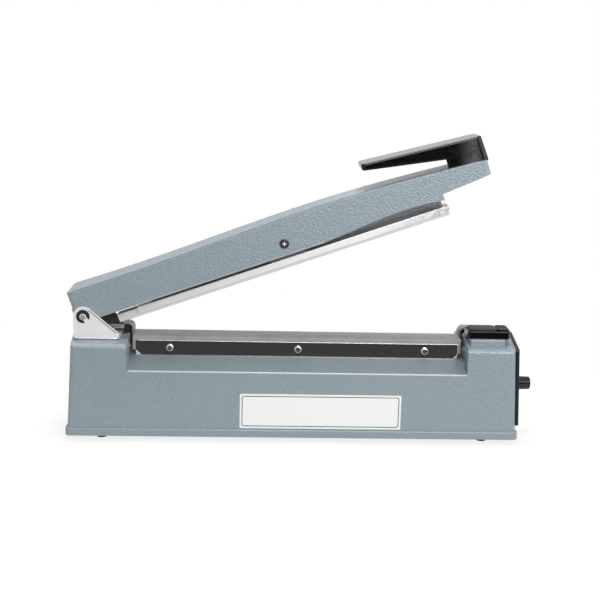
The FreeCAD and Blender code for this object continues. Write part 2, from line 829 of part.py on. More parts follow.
def raised(shape):
    """Moves a shape from the closed, level arm's frame to the raised rest position."""
    shape = shape.copy()
    shape.rotate(V(0, 0, 0), Y_AXIS, -open_angle)
    shape.translate(V(-pivot_left, 0, pivot_z))
    return shape


def spline(points):
    """Smooth edge through a few points in the side view."""
    curve = Part.BSplineCurve()
    curve.interpolate([V(u, 0, w) for u, w in points])
    return curve.toShape()


def line(start, end):
    """Straight edge in the side view."""
    return Part.makeLine(V(start[0], 0, start[1]), V(end[0], 0, end[1]))


def arm_side(inset):
    """Side view of the arm: crowned back, drooped lip and stepped nose; open below when inset."""
    start, end = arm_start + inset, arm_end - inset
    tip = (end, arm_top_end - inset)
    top = [(start, arm_top_start - inset), (arm_flat_u, arm_top_start + 0.3 - inset),
           (arm_crown_u, arm_crown_w - inset), (arm_step_u, arm_top_knee_w - inset), tip]
    if inset:
        low = arm_lip_w - 20
        edges = [spline(top), line(tip, (end, low)), line((end, low), (start, low)),
                 line((start, low), top[0])]
    else:
        heel = (start, arm_lip_w)
        edges = [
            spline(top), line(tip, (end, nose_end_w)),
            line((end, nose_end_w), (arm_step_u, nose_w)),
            line((arm_step_u, nose_w), (arm_step_u, arm_step_w)),
            spline([(arm_step_u, arm_step_w), (arm_bay_u + 14, arm_bay_w - 0.2),
                    (arm_bay_u - 20, arm_bay_w - 0.3), (arm_lip_u, arm_lip_w)]),
            line((arm_lip_u, arm_lip_w), heel), line(heel, top[0]),
        ]
    face = Part.Face(Part.Wire(edges))
    face.translate(V(0, -50, 0))
    return face.extrude(V(0, 100, 0))


def arm_half(u):
    """Half-width of the arm at distance u from the pivot."""
    return arm_half_start + (arm_half_end - arm_half_start) * (u - arm_start) / (arm_end - arm_start)


def arm_plan(inset):
    """Plan view of the arm: a long taper towards the nose, carried upwards."""
    start, end = arm_start + inset, arm_end - inset
    points = [V(start, -arm_half(start) + inset, -60), V(end, -arm_half(end) + inset, -60),
              V(end, arm_half(end) - inset, -60), V(start, arm_half(start) - inset, -60)]
    plan = prism(points, V(0, 0, 120))
    nose = lambda e: parallel(e, Z_AXIS) and e.CenterOfMass.x > end - 1
    heel = lambda e: parallel(e, Z_AXIS) and e.CenterOfMass.x < start + 1
    plan = rounded(plan, nose_corner - inset * 0.6, nose)
    return rounded(plan, nose_corner * 0.7 - inset * 0.4, heel)


def make_rear_wall():
    """Lower part of the arm's rear wall, which runs straight and deeper than the front one."""
    low = arm_lip_w - rear_wall_drop
    top = arm_bay_w + arm_wall
    start = bar_start + rear_wall_inset
    outline = [(start, top), (start, arm_lip_w), (start + rear_wall_drop, low), (arm_step_u, low),
               (arm_step_u, top)]
    return arm_plan(0.0).cut(arm_plan(arm_wall)).common(profile_xz(outline, 0, 50))


def make_arm():
    """Cast arm: a tapered channel, open below, with hinge bosses and a saddle hole."""
    outer = arm_side(0.0).common(arm_plan(0.0))
    at_end = lambda x: x < arm_start + 1 or x > arm_end - 1
    back = lambda e: (e.CenterOfMass.z > nose_end_w + 12 and e.BoundBox.ZLength < 8
                      and (not parallel(e, Y_AXIS) or at_end(e.CenterOfMass.x)))
    outer = rounded(outer, arm_edge_round, back)
    arm = outer.cut(arm_side(arm_wall).common(arm_plan(arm_wall))).fuse(make_rear_wall())
    for side in (-1, 1):
        start = side * (lift_length / 2 + bush_start_gap)
        end = side * (cheek_gap_half - hinge_boss_gap)
        tube = rod(bush_radius + boss_wall, V(0, start, 0), V(0, end, 0))
        disc = rod(hinge_boss_radius, V(0, side * (arm_half(0) - arm_wall), 0), V(0, end, 0))
        disc = disc.common(arm_side(0.0))
        arm = arm.fuse(tube).fuse(disc)
        arm = arm.cut(rod(bush_radius, V(0, start - side, 0), V(0, end + side, 0)))
    arm = arm.cut(rod(rock_screw_radius + pin_fit, V(rock_u, -50, rock_w), V(rock_u, 50, rock_w)))
    for u in handle_screw_places():
        arm = arm.cut(rod(handle_screw_radius, V(u, 0, 0), V(u, 0, 40)))
    return arm.removeSplitter()


def handle_screw_places():
    """Screw places under the handle's foot."""
    return [handle_inner_u + handle_screw_inset[0], handle_back_u - handle_screw_inset[1]]


def seat_w(u):
    """Height of the arm's straight back under the handle."""
    slope = (arm_top_end - arm_top_knee_w) / (arm_end - arm_step_u)
    return arm_top_knee_w + slope * (u - arm_step_u)


def make_handle():
    """Moulded handle: a foot on the nose and a tapering grip over the arm."""
    low = seat_w(handle_inner_u) - 2.0
    outline = [
        (handle_free_u, low), (arm_end, seat_w(arm_end) - 2.0),
        (handle_back_u, seat_w(arm_end) + 0.6), (handle_back_u - 1.0, handle_back_top),
        (handle_free_u + 0.8, handle_free_top), (handle_free_u, handle_free_under),
    ]
    body = profile_xz(outline, -handle_half, handle_half)
    under_slope = (handle_free_under - handle_inner_w) / (handle_inner_u - handle_free_u)
    far_u = handle_free_u - 2 * finger_space_skew
    space = [
        (handle_inner_u, low - 1.0), (handle_inner_u, handle_inner_w),
        (far_u, handle_inner_w + under_slope * (handle_inner_u - far_u)), (far_u, low - 1.0),
    ]
    body = body.cut(prism([V(u, -handle_half, w) for u, w in space], V(finger_space_skew, 2 * handle_half, 0)))
    free_end = lambda e: parallel(e, V(0.13, 0, 1).normalize()) and e.CenterOfMass.x < handle_free_u + 2
    back_end = lambda e: (abs(e.CenterOfMass.x - handle_back_u) < 1.5 and e.BoundBox.ZLength > 10)
    body = rounded(body, handle_corner, lambda e: back_end(e) and e.BoundBox.YLength < 1)
    ends = lambda e: (e.CenterOfMass.x < handle_free_u + 2 and e.BoundBox.YLength < 1 and e.BoundBox.XLength < 2)
    body = rounded(body, handle_corner * 0.6, ends)
    crown = lambda e: e.CenterOfMass.z > handle_back_top - 1.2 and e.BoundBox.ZLength < 12
    body = rounded(body, handle_edge_round, crown)
    body = body.cut(arm_side(0.0))
    for u in handle_screw_places():
        body = body.cut(rod(handle_screw_radius, V(u, 0, 0), V(u, 0, seat_w(u) + handle_screw_length)))
    return body


hang("arm_channel", raised(make_arm()))
bushes = []
for side in (-1, 1):
    start = V(0, side * (lift_length / 2 + bush_start_gap), 0)
    end = V(0, side * (cheek_gap_half - hinge_boss_gap), 0)
    bushes.append(rod(bush_radius, start, end).cut(rod(pin_radius + pin_fit, start, end)))
hang("hinge_bushes", raised(group(bushes)))
hang("handle", raised(make_handle()))
handle_screws = [pan_screw(V(u, 0, seat_w(u) - arm_wall - handle_screw_gap), Z_AXIS, handle_screw_length,
                           handle_screw_radius, handle_screw_head_radius) for u in handle_screw_places()]
hang("handle_screws", raised(group(handle_screws)))

# Press bar, its rubber, its saddle and the screw that it rocks on


def make_bar():
    """Aluminium extrusion with a slot below for the rubber."""
    u0, u1 = bar_start, bar_start + bar_length
    bar = box(u0, u1, -bar_half, bar_half, bar_top_w - bar_height, bar_top_w)
    bar = rounded(bar, 0.6, lambda e: parallel(e, X_AXIS) and e.CenterOfMass.z > bar_top_w - 0.1)
    slot = box(u0 - 1, u1 + 1, -rubber_half, rubber_half, bar_top_w - bar_height - 1, bar_top_w - bar_wall)
    keys = [box(u0 - 1, u1 + 1, side * rubber_half - rubber_key_width, side * rubber_half + rubber_key_width,
                bar_top_w - bar_wall - rubber_key_height, bar_top_w - bar_wall) for side in (-1, 1)]
    return bar.cut(slot).cut(group(keys))


def make_rubber():
    """Silicone strip with a keyed back, longer than the bar at the hinge end."""
    u0, u1 = bar_start - rubber_overhang, bar_start + bar_length
    back_w = bar_top_w - bar_wall
    strip = box(u0, u1, -rubber_half, rubber_half, rubber_face_w, back_w)
    strip = rounded(strip, 0.8, lambda e: parallel(e, X_AXIS) and e.CenterOfMass.z < rubber_face_w + 0.1)
    head_half = rubber_half + rubber_key_width
    head = box(u0, u1, -head_half, head_half, back_w - rubber_key_height, back_w)
    return strip.fuse(head).removeSplitter()


def make_saddle():
    """Bent steel saddle: a floor on the bar and two ears on the rocking screw."""
    u0, u1 = rock_u - saddle_length / 2, rock_u + saddle_length / 2
    floor = box(u0, u1, -saddle_half, saddle_half, bar_top_w, bar_top_w + saddle_thickness)
    saddle = floor
    ear_radius = rock_screw_radius + saddle_ear_wall
    for side in (-1, 1):
        y0, y1 = sorted((side * saddle_half, side * (saddle_half - saddle_thickness)))
        ear = box(rock_u - ear_radius, rock_u + ear_radius, y0, y1, bar_top_w, rock_w)
        tip = rod(ear_radius, V(rock_u, y0, rock_w), V(rock_u, y1, rock_w))
        saddle = saddle.fuse(ear).fuse(tip)
    saddle = saddle.cut(rod(rock_screw_radius + pin_fit, V(rock_u, -50, rock_w), V(rock_u, 50, rock_w)))
    for u in saddle_screw_places():
        saddle = saddle.cut(rod(screw_radius, V(u, 0, bar_top_w - 2), V(u, 0, bar_top_w + 5)))
    return saddle.removeSplitter()


def saddle_screw_places():
    """Screws that hold the saddle to the bar, at the two ends of its floor."""
    reach = saddle_length / 2 - saddle_screw_inset
    return [rock_u - reach, rock_u + reach]


bar = make_bar()
rubber = make_rubber()
for u in saddle_screw_places():
    hole = rod(screw_radius, V(u, 0, bar_top_w - 4), V(u, 0, bar_top_w + 1))
    bar, rubber = bar.cut(hole), rubber.cut(hole)
hang("press_bar", raised(bar))
hang("silicone_strip", raised(rubber))
hang("bar_saddle", raised(make_saddle()))
hang("saddle_screws", raised(group([pan_screw(V(u, 0, bar_top_w + saddle_thickness), Z_AXIS * -1, saddle_screw_length)
                                    for u in saddle_screw_places()])))

rock_half = arm_half(rock_u - nut_radius)
rock_screw = pan_screw(V(rock_u, -rock_half, rock_w), Y_AXIS, 2 * rock_half + nut_height + rock_screw_end,
                       rock_screw_radius, rock_head_radius)
hang("rocking_screw", raised(rock_screw))
nut_face = V(rock_u, rock_half, rock_w)
corners = [V(math.cos(math.radians(60 * k)), 0, math.sin(math.radians(60 * k))) for k in range(6)]
nut = prism([nut_face + corner * nut_radius for corner in corners], V(0, nut_height, 0))
nut = nut.cut(rod(rock_screw_radius, nut_face, nut_face + V(0, nut_height, 0)))
hang("rocking_nut", raised(nut))
spacers = []
for side in (-1, 1):
    spacer_radius_outer = rock_screw_radius + spacer_wall
    start = V(rock_u, side * (saddle_half + spacer_gap), rock_w)
    end = V(rock_u, side * (arm_half(rock_u + spacer_radius_outer) - arm_wall), rock_w)
    spacers.append(rod(spacer_radius_outer, start, end).cut(rod(rock_screw_radius, start, end)))
hang("rocking_spacers", raised(group(spacers)))

# Switch housing, press cap, microswitch and lamp on the right tower


def make_switch_housing():
    """Black frame around the press cap, with a lamp seat and two legs that hold the microswitch."""
    outer = rounded_plate(switch_left, switch_right, -switch_front, -switch_back, block_top, switch_rim_top,
                          switch_corner)
    outer = rounded(outer, 1.2, lambda e: e.CenterOfMass.z > switch_rim_top - 0.1)
    crest = rounded_plate(cap_right() + cap_fit, switch_right - 1.0, -switch_front + switch_wall,
                          -switch_back - 0.6, switch_rim_top - 3, cap_top_z, 2.5)
    outer = outer.fuse(crest)
    well = rounded_plate(cap_left() - cap_fit, cap_right() + cap_fit - 0.01, -switch_front + switch_wall,
                         -switch_back - switch_wall * 0.5, block_top + switch_floor, cap_top_z + 1, cap_corner)
    housing = outer.cut(well)
    x, y = cap_middle()
    housing = housing.cut(rod(plunger_radius + plunger_gap, V(x, y, block_top - 1), V(x, y, cap_top_z)))
    for side in (-1, 1):
        face = x + side * microswitch_length / 2
        x0, x1 = sorted((face, face + side * leg_thickness))
        housing = housing.fuse(box(x0, x1, y - leg_half, y + leg_half, leg_foot_z, block_top + switch_floor / 2))
    housing = housing.cut(rod(lamp_radius, V(lamp_x(), lamp_y(), block_top + switch_floor),
                              V(lamp_x(), lamp_y(), cap_top_z + 1)))
    return housing.removeSplitter()


def make_cap():
    """Press cap with a raised rim and a plunger down to the microswitch button."""
    cap = rounded_plate(cap_left(), cap_right(), -switch_front + switch_wall + cap_fit,
                        -switch_back - switch_wall * 0.5 - cap_fit, cap_top_z - cap_thickness, cap_top_z, cap_corner)
    cap = rounded(cap, 0.8, lambda e: e.CenterOfMass.z > cap_top_z - 0.1)
    x, y = cap_middle()
    return cap.fuse(rod(plunger_radius, V(x, y, plunger_foot_z), V(x, y, cap_top_z - cap_thickness / 2)))


def make_microswitch():
    """Microswitch body with its button on top and three solder tags below."""
    x, y = cap_middle()
    body = box(x - microswitch_length / 2, x + microswitch_length / 2, y - microswitch_half,
               y + microswitch_half, leg_foot_z, microswitch_top)
    body = body.fuse(rod(button_radius, V(x, y, microswitch_top), V(x, y, microswitch_top + button_height)))
    for k in (-1, 0, 1):
        tag_x = x + k * tag_pitch
        body = body.fuse(box(tag_x - tag_half, tag_x + tag_half, y - tag_thickness / 2, y + tag_thickness / 2,
                             leg_foot_z - tag_length, leg_foot_z))
    return body


hang("switch_housing", make_switch_housing())
hang("switch_cap", make_cap())
hang("microswitch", make_microswitch())
lamp = rod(lamp_radius, V(lamp_x(), lamp_y(), block_top + switch_floor),
           V(lamp_x(), lamp_y(), cap_top_z + lamp_rise))
lamp = lamp.makeFillet(0.5, [e for e in lamp.Edges if e.Closed and e.CenterOfMass.z > cap_top_z])
hang("indicator_lamp", lamp)

# End panel, timer knob and cord gland


def on_end_wall(shape):
    """Tilts an upright plate at the end wall's foot line to lie on the drafted wall."""
    shape = shape.copy()
    shape.rotate(V(0, 0, 0), Y_AXIS, -end_draft)
    shape.translate(V(half_length, 0, flange_top_z))
    return shape


def make_panel():
    """Black end panel whose outline follows the tower's section, a little proud at the top."""
    foot = panel_foot_z - flange_top_z
    top = wall_top_z - flange_top_z
    outline = mirrored([
        (wall_y(panel_foot_z) - panel_side_gap, foot), (shoulder_half - 0.5, top + panel_proud),
        (ridge_half, ridge_z - flange_top_z + panel_proud),
    ])
    panel = profile_yz(outline, 0.0, panel_thickness)
    panel = rounded(panel, panel_corner, lambda e: parallel(e, X_AXIS))
    panel = rounded(panel, 0.8, lambda e: e.CenterOfMass.x > panel_thickness - 0.01)
    return on_end_wall(panel)


panel = make_panel()
panel = panel.cut(rod(shaft_radius + shaft_fit, V(half_length - 30, 0, knob_z), V(half_length + 9, 0, knob_z)))
panel_screws = []
for y, z in panel_holes():
    seat, inward = panel_seat(y, z)
    panel = panel.cut(rod(screw_radius, seat - inward, seat + inward * panel_screw_length))
    panel_screws.append(pan_screw(seat, inward, panel_screw_length))
hang("end_panel", panel)
hang("panel_screws", group(panel_screws))

knob_start = V(knob_start_x, 0, knob_z)
knob = Part.makeCone(knob_radius, knob_tip_radius, knob_length, knob_start, X_AXIS)
knob = knob.makeFillet(1.0, [e for e in knob.Edges if e.Closed and e.CenterOfMass.x > knob_start_x + 1])
for k in range(knob_flutes):
    turn = 2 * math.pi * k / knob_flutes
    radial = V(0, math.cos(turn), math.sin(turn)) * (knob_radius + 0.1)
    knob = knob.cut(rod(flute_radius, knob_start + radial - X_AXIS, knob_start + radial + X_AXIS * (knob_length + 1)))
shaft_tip = knob_start + X_AXIS * knob_bore_depth
knob = knob.cut(rod(shaft_radius, knob_start, shaft_tip))
hang("timer_knob", knob)
hang("timer_shaft", rod(shaft_radius, V(shaft_end, 0, knob_z), shaft_tip))

gland_inner_y = wall_y(gland_z) - casting_wall - gland_tail
gland_seat_y = wall_y(gland_z - gland_radius - gland_flange)
gland_outer_y = gland_seat_y + gland_flange_thickness
gland = rod(gland_radius, V(gland_x, gland_inner_y, gland_z), V(gland_x, gland_outer_y, gland_z))
gland = gland.fuse(rod(gland_radius + gland_flange, V(gland_x, gland_seat_y, gland_z), V(gland_x, gland_outer_y, gland_z)))
gland = gland.cut(rod(gland_bore, V(gland_x, gland_inner_y, gland_z), V(gland_x, gland_outer_y, gland_z)))
hang("cord_gland", gland)

# Timer potentiometer and board

pot = rod(pot_radius, V(pot_front_x - pot_length, 0, knob_z), V(pot_front_x, 0, knob_z))
pot = pot.fuse(rod(bushing_radius, V(pot_front_x - gap, 0, knob_z), V(wall_x(knob_z) - gap, 0, knob_z)))
pot = pot.cut(rod(shaft_radius + shaft_fit, V(shaft_end - gap, 0, knob_z), V(half_length, 0, knob_z)))
tag_x = pot_front_x - pot_length / 2
for k in (-1, 0, 1):
    pot = pot.fuse(box(tag_x - pot_tag_thickness / 2, tag_x + pot_tag_thickness / 2, k * pot_tag_pitch - pot_tag_half,
                       k * pot_tag_pitch + pot_tag_half, knob_z - pot_radius - pot_tag_length,
                       knob_z - pot_radius + 1))
hang("timer_potentiometer", pot)

board_floor = board_z - board_thickness
board = box(board_x - board_length / 2, board_x + board_length / 2, -board_depth / 2, board_depth / 2,
            board_floor, board_z)
spacer_pieces = []
for side in (-1, 1):
    x = board_x + side * (board_length / 2 - board_hole_inset)
    for y in (board_hole_inset - board_depth / 2, board_depth / 2 - board_hole_inset):
        spacer_pieces.append(rod(spacer_radius, V(x, y, plate_top), V(x, y, board_floor)))
hang("timer_board", board)
hang("board_spacers", group(spacer_pieces))


def on_board(x, y, length, depth, height):
    """Block on the board about a point measured from the board's middle."""
    return box(board_x + x - length / 2, board_x + x + length / 2, y - depth / 2, y + depth / 2,
               board_z, board_z + height)


relay = on_board(relay_x, 0.0, relay_length, relay_depth, relay_height)
chip = on_board(chip_x, chip_y, chip_length, chip_depth, chip_height)
capacitor_foot = V(board_x + capacitor_x, capacitor_y, board_z)
capacitor = rod(capacitor_radius, capacitor_foot, capacitor_foot + Z_AXIS * capacitor_height)
capacitor = capacitor.makeFillet(0.8, [e for e in capacitor.Edges if e.Closed and e.CenterOfMass.z > board_z + 1])
resistors = []
for k in range(3):
    start = V(board_x + resistor_x + resistor_pitch * k, resistor_y - resistor_length / 2, board_z + resistor_radius)
    resistors.append(rod(resistor_radius, start, start + Y_AXIS * resistor_length))
hang("board_components", group([relay, capacitor, chip] + resistors))

# Transformer: laminated core, coil on its middle leg, strap and screws

limb = core_length / 6
core_x0, core_x1 = transformer_x - core_length / 2, transformer_x + core_length / 2
core = box(core_x0, core_x1, -core_depth / 2, core_depth / 2, plate_top, plate_top + core_height)
window_z0, window_z1 = plate_top + limb, plate_top + core_height - limb
for x0, x1 in ((core_x0 + limb, transformer_x - limb), (transformer_x + limb, core_x1 - limb)):
    core = core.cut(box(x0, x1, -core_depth, core_depth, window_z0, window_z1))
hang("transformer_core", core)
coil_half_y = core_depth / 2 + coil_overhang
winding = rounded_plate(core_x0 + limb + gap, core_x1 - limb - gap, -coil_half_y, coil_half_y,
                        window_z0 + gap, window_z1 - gap, coil_corner)
winding = winding.cut(box(transformer_x - limb - gap, transformer_x + limb + gap, -core_depth / 2 - gap,
                          core_depth / 2 + gap, window_z0 - 1, window_z1 + 1))
hang("transformer_coil", winding)
strap_top = plate_top + core_height + strap_thickness
strap = box(core_x0 - strap_thickness, core_x1 + strap_thickness, -strap_half, strap_half, plate_top, strap_top)
strap = strap.cut(box(core_x0, core_x1, -strap_half - 1, strap_half + 1, plate_top - 1, strap_top - strap_thickness))
strap_screws = []
for side, edge in ((-1, core_x0), (1, core_x1)):
    x0, x1 = sorted((edge, edge + side * strap_foot))
    strap = strap.fuse(box(x0, x1, -strap_half, strap_half, plate_top, plate_top + strap_thickness))
strap = strap.cut(box(core_x0, core_x1, -strap_half - 1, strap_half + 1, plate_top - 1, strap_top - strap_thickness))
for side, edge in ((-1, core_x0), (1, core_x1)):
    x = edge + side * (strap_foot * 0.6)
    strap = strap.cut(rod(screw_radius, V(x, 0, plate_top - 1), V(x, 0, plate_top + 4)))
    bottom_hole = rod(screw_radius, V(x, 0, 0), V(x, 0, plate_top + 1))
    parts["bottom_plate"] = parts["bottom_plate"].cut(bottom_hole)
    strap_screws.append(pan_screw(V(x, 0, plate_top + strap_thickness), Z_AXIS * -1,
                                  strap_thickness + bottom_plate_thickness))
hang("transformer_strap", strap.removeSplitter())
hang("strap_screws", group(strap_screws))

# Label plate on the front wall

label_low_y = wall_y(label_foot_z)
label = Part.makeBox(label_length, label_thickness,
                     (label_head_z - label_foot_z) / math.cos(math.radians(side_draft)),
                     V(label_left, -label_thickness, 0))
label = rounded(label, 1.5, lambda e: parallel(e, Y_AXIS))
label.rotate(V(0, 0, 0), X_AXIS, -side_draft)
label.translate(V(0, -label_low_y, label_foot_z))
hang("label_plate", label)

# Every piece moves so that the machine's box is centred on the origin

os.makedirs("parts", exist_ok=True)
for name, shape in parts.items():
    shape = shape.copy()
    shape.translate(V(base_middle_x, 0, 0))
    shape.exportStep("parts/" + name + ".step")
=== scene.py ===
import json
import logging
import math
from dataclasses import dataclass, field
from enum import Enum
from typing import Iterable, Optional, Sequence

import bpy
import numpy as np
from mathutils import Matrix, Vector


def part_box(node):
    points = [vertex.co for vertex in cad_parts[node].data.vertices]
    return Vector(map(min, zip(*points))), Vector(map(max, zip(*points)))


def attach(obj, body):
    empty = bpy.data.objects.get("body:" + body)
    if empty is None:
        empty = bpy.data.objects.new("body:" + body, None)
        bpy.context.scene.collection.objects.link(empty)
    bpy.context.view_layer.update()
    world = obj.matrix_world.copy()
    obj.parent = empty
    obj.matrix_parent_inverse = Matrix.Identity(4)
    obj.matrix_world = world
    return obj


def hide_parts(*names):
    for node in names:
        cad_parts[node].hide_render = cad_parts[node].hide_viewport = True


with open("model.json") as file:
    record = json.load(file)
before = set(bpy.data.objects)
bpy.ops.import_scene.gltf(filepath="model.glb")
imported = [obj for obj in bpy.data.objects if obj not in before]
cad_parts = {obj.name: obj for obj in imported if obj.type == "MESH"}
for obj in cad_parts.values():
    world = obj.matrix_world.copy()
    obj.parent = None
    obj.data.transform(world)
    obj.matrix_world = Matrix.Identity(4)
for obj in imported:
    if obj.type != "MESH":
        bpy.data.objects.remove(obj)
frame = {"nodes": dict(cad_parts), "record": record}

logging.basicConfig(level=logging.INFO, format="%(message)s")
log = logging.getLogger("bag_sealer")

MM = 0.001


def write_sizes() -> None:
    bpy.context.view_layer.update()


write_sizes()


@dataclass(frozen=True)
class Place:
    """Lowest and highest corners of a node at rest, in metres."""

    low: Vector
    high: Vector

    @classmethod
    def of(cls, node: str) -> "Place":
        """The place of a CAD node.

        Args:
            node: Name of the node.

        Returns:
            Its box.
        """
        low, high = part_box(node)
        return cls(Vector(low), Vector(high))

    @property
    def middle(self) -> Vector:
        """Middle of the box."""
        return (self.low + self.high) / 2

    @property
    def size(self) -> Vector:
        """Extents of the box."""
        return self.high - self.low


class Graph:
    """A node tree with short calls to add and join nodes."""

    def __init__(self, tree: bpy.types.NodeTree) -> None:
        """Takes a node tree and empties it.

        Args:
            tree: The tree to build in.
        """
        self.tree = tree
        tree.nodes.clear()

    def add(self, kind: str, settings: Optional[dict] = None, **sockets: object) -> bpy.types.Node:
        """Adds a node.

        Args:
            kind: Blender's name for the node type.
            settings: Attributes to set on the node.
            sockets: Input values or output sockets to join, with spaces written as underscores.

        Returns:
            The new node.
        """
        node = self.tree.nodes.new(kind)
        for name, value in (settings or {}).items():
            setattr(node, name, value)
        for name, value in sockets.items():
            self.feed(node.inputs[name.replace("_", " ")], value)
        return node

    def feed(self, socket: bpy.types.NodeSocket, value: object) -> None:
        """Sets an input or joins an output to it.

        Args:
            socket: The input.
            value: A plain value or an output socket.
        """
        if isinstance(value, bpy.types.NodeSocket):
            self.tree.links.new(value, socket)
        else:
            socket.default_value = value

    def maths(self, operation: str, first: object, second: object = 0.0) -> bpy.types.NodeSocket:
        """Adds a sum on two values.

        Args:
            operation: Blender's name for the operation.
            first: First value or socket.
            second: Second value or socket.

        Returns:
            The result's socket.
        """
        node = self.add("ShaderNodeMath", {"operation": operation})
        self.feed(node.inputs[0], first)
        self.feed(node.inputs[1], second)
        return node.outputs[0]

    def near(self, value: object, target: float, within: float) -> bpy.types.NodeSocket:
        """Marks values close to a target.

        Args:
            value: The value's socket.
            target: Middle of the band.
            within: Half the width of the band.

        Returns:
            A socket that is 1 inside the band and 0 outside it.
        """
        node = self.add("ShaderNodeMath", {"operation": "COMPARE"})
        for socket, setting in zip(node.inputs, (value, target, within)):
            self.feed(socket, setting)
        return node.outputs[0]

    def spread(self, value: object, low: float, high: float) -> bpy.types.NodeSocket:
        """Maps a value from 0..1 to a range.

        Args:
            value: Socket that runs from 0 to 1.
            low: Result at 0.
            high: Result at 1.

        Returns:
            The result's socket.
        """
        node = self.add("ShaderNodeMapRange", {"clamp": True}, Value=value, To_Min=low, To_Max=high)
        return node.outputs["Result"]

    def blend_colour(self, amount: object, first: object, second: object) -> bpy.types.NodeSocket:
        """Mixes two colours.

        Args:
            amount: Share of the second colour.
            first: First colour.
            second: Second colour.

        Returns:
            The result's socket.
        """
        node = self.add("ShaderNodeMix", {"data_type": "RGBA", "clamp_factor": True})
        self.feed(node.inputs["Factor"], amount)
        self.feed(node.inputs[6], first)
        self.feed(node.inputs[7], second)
        return node.outputs[2]


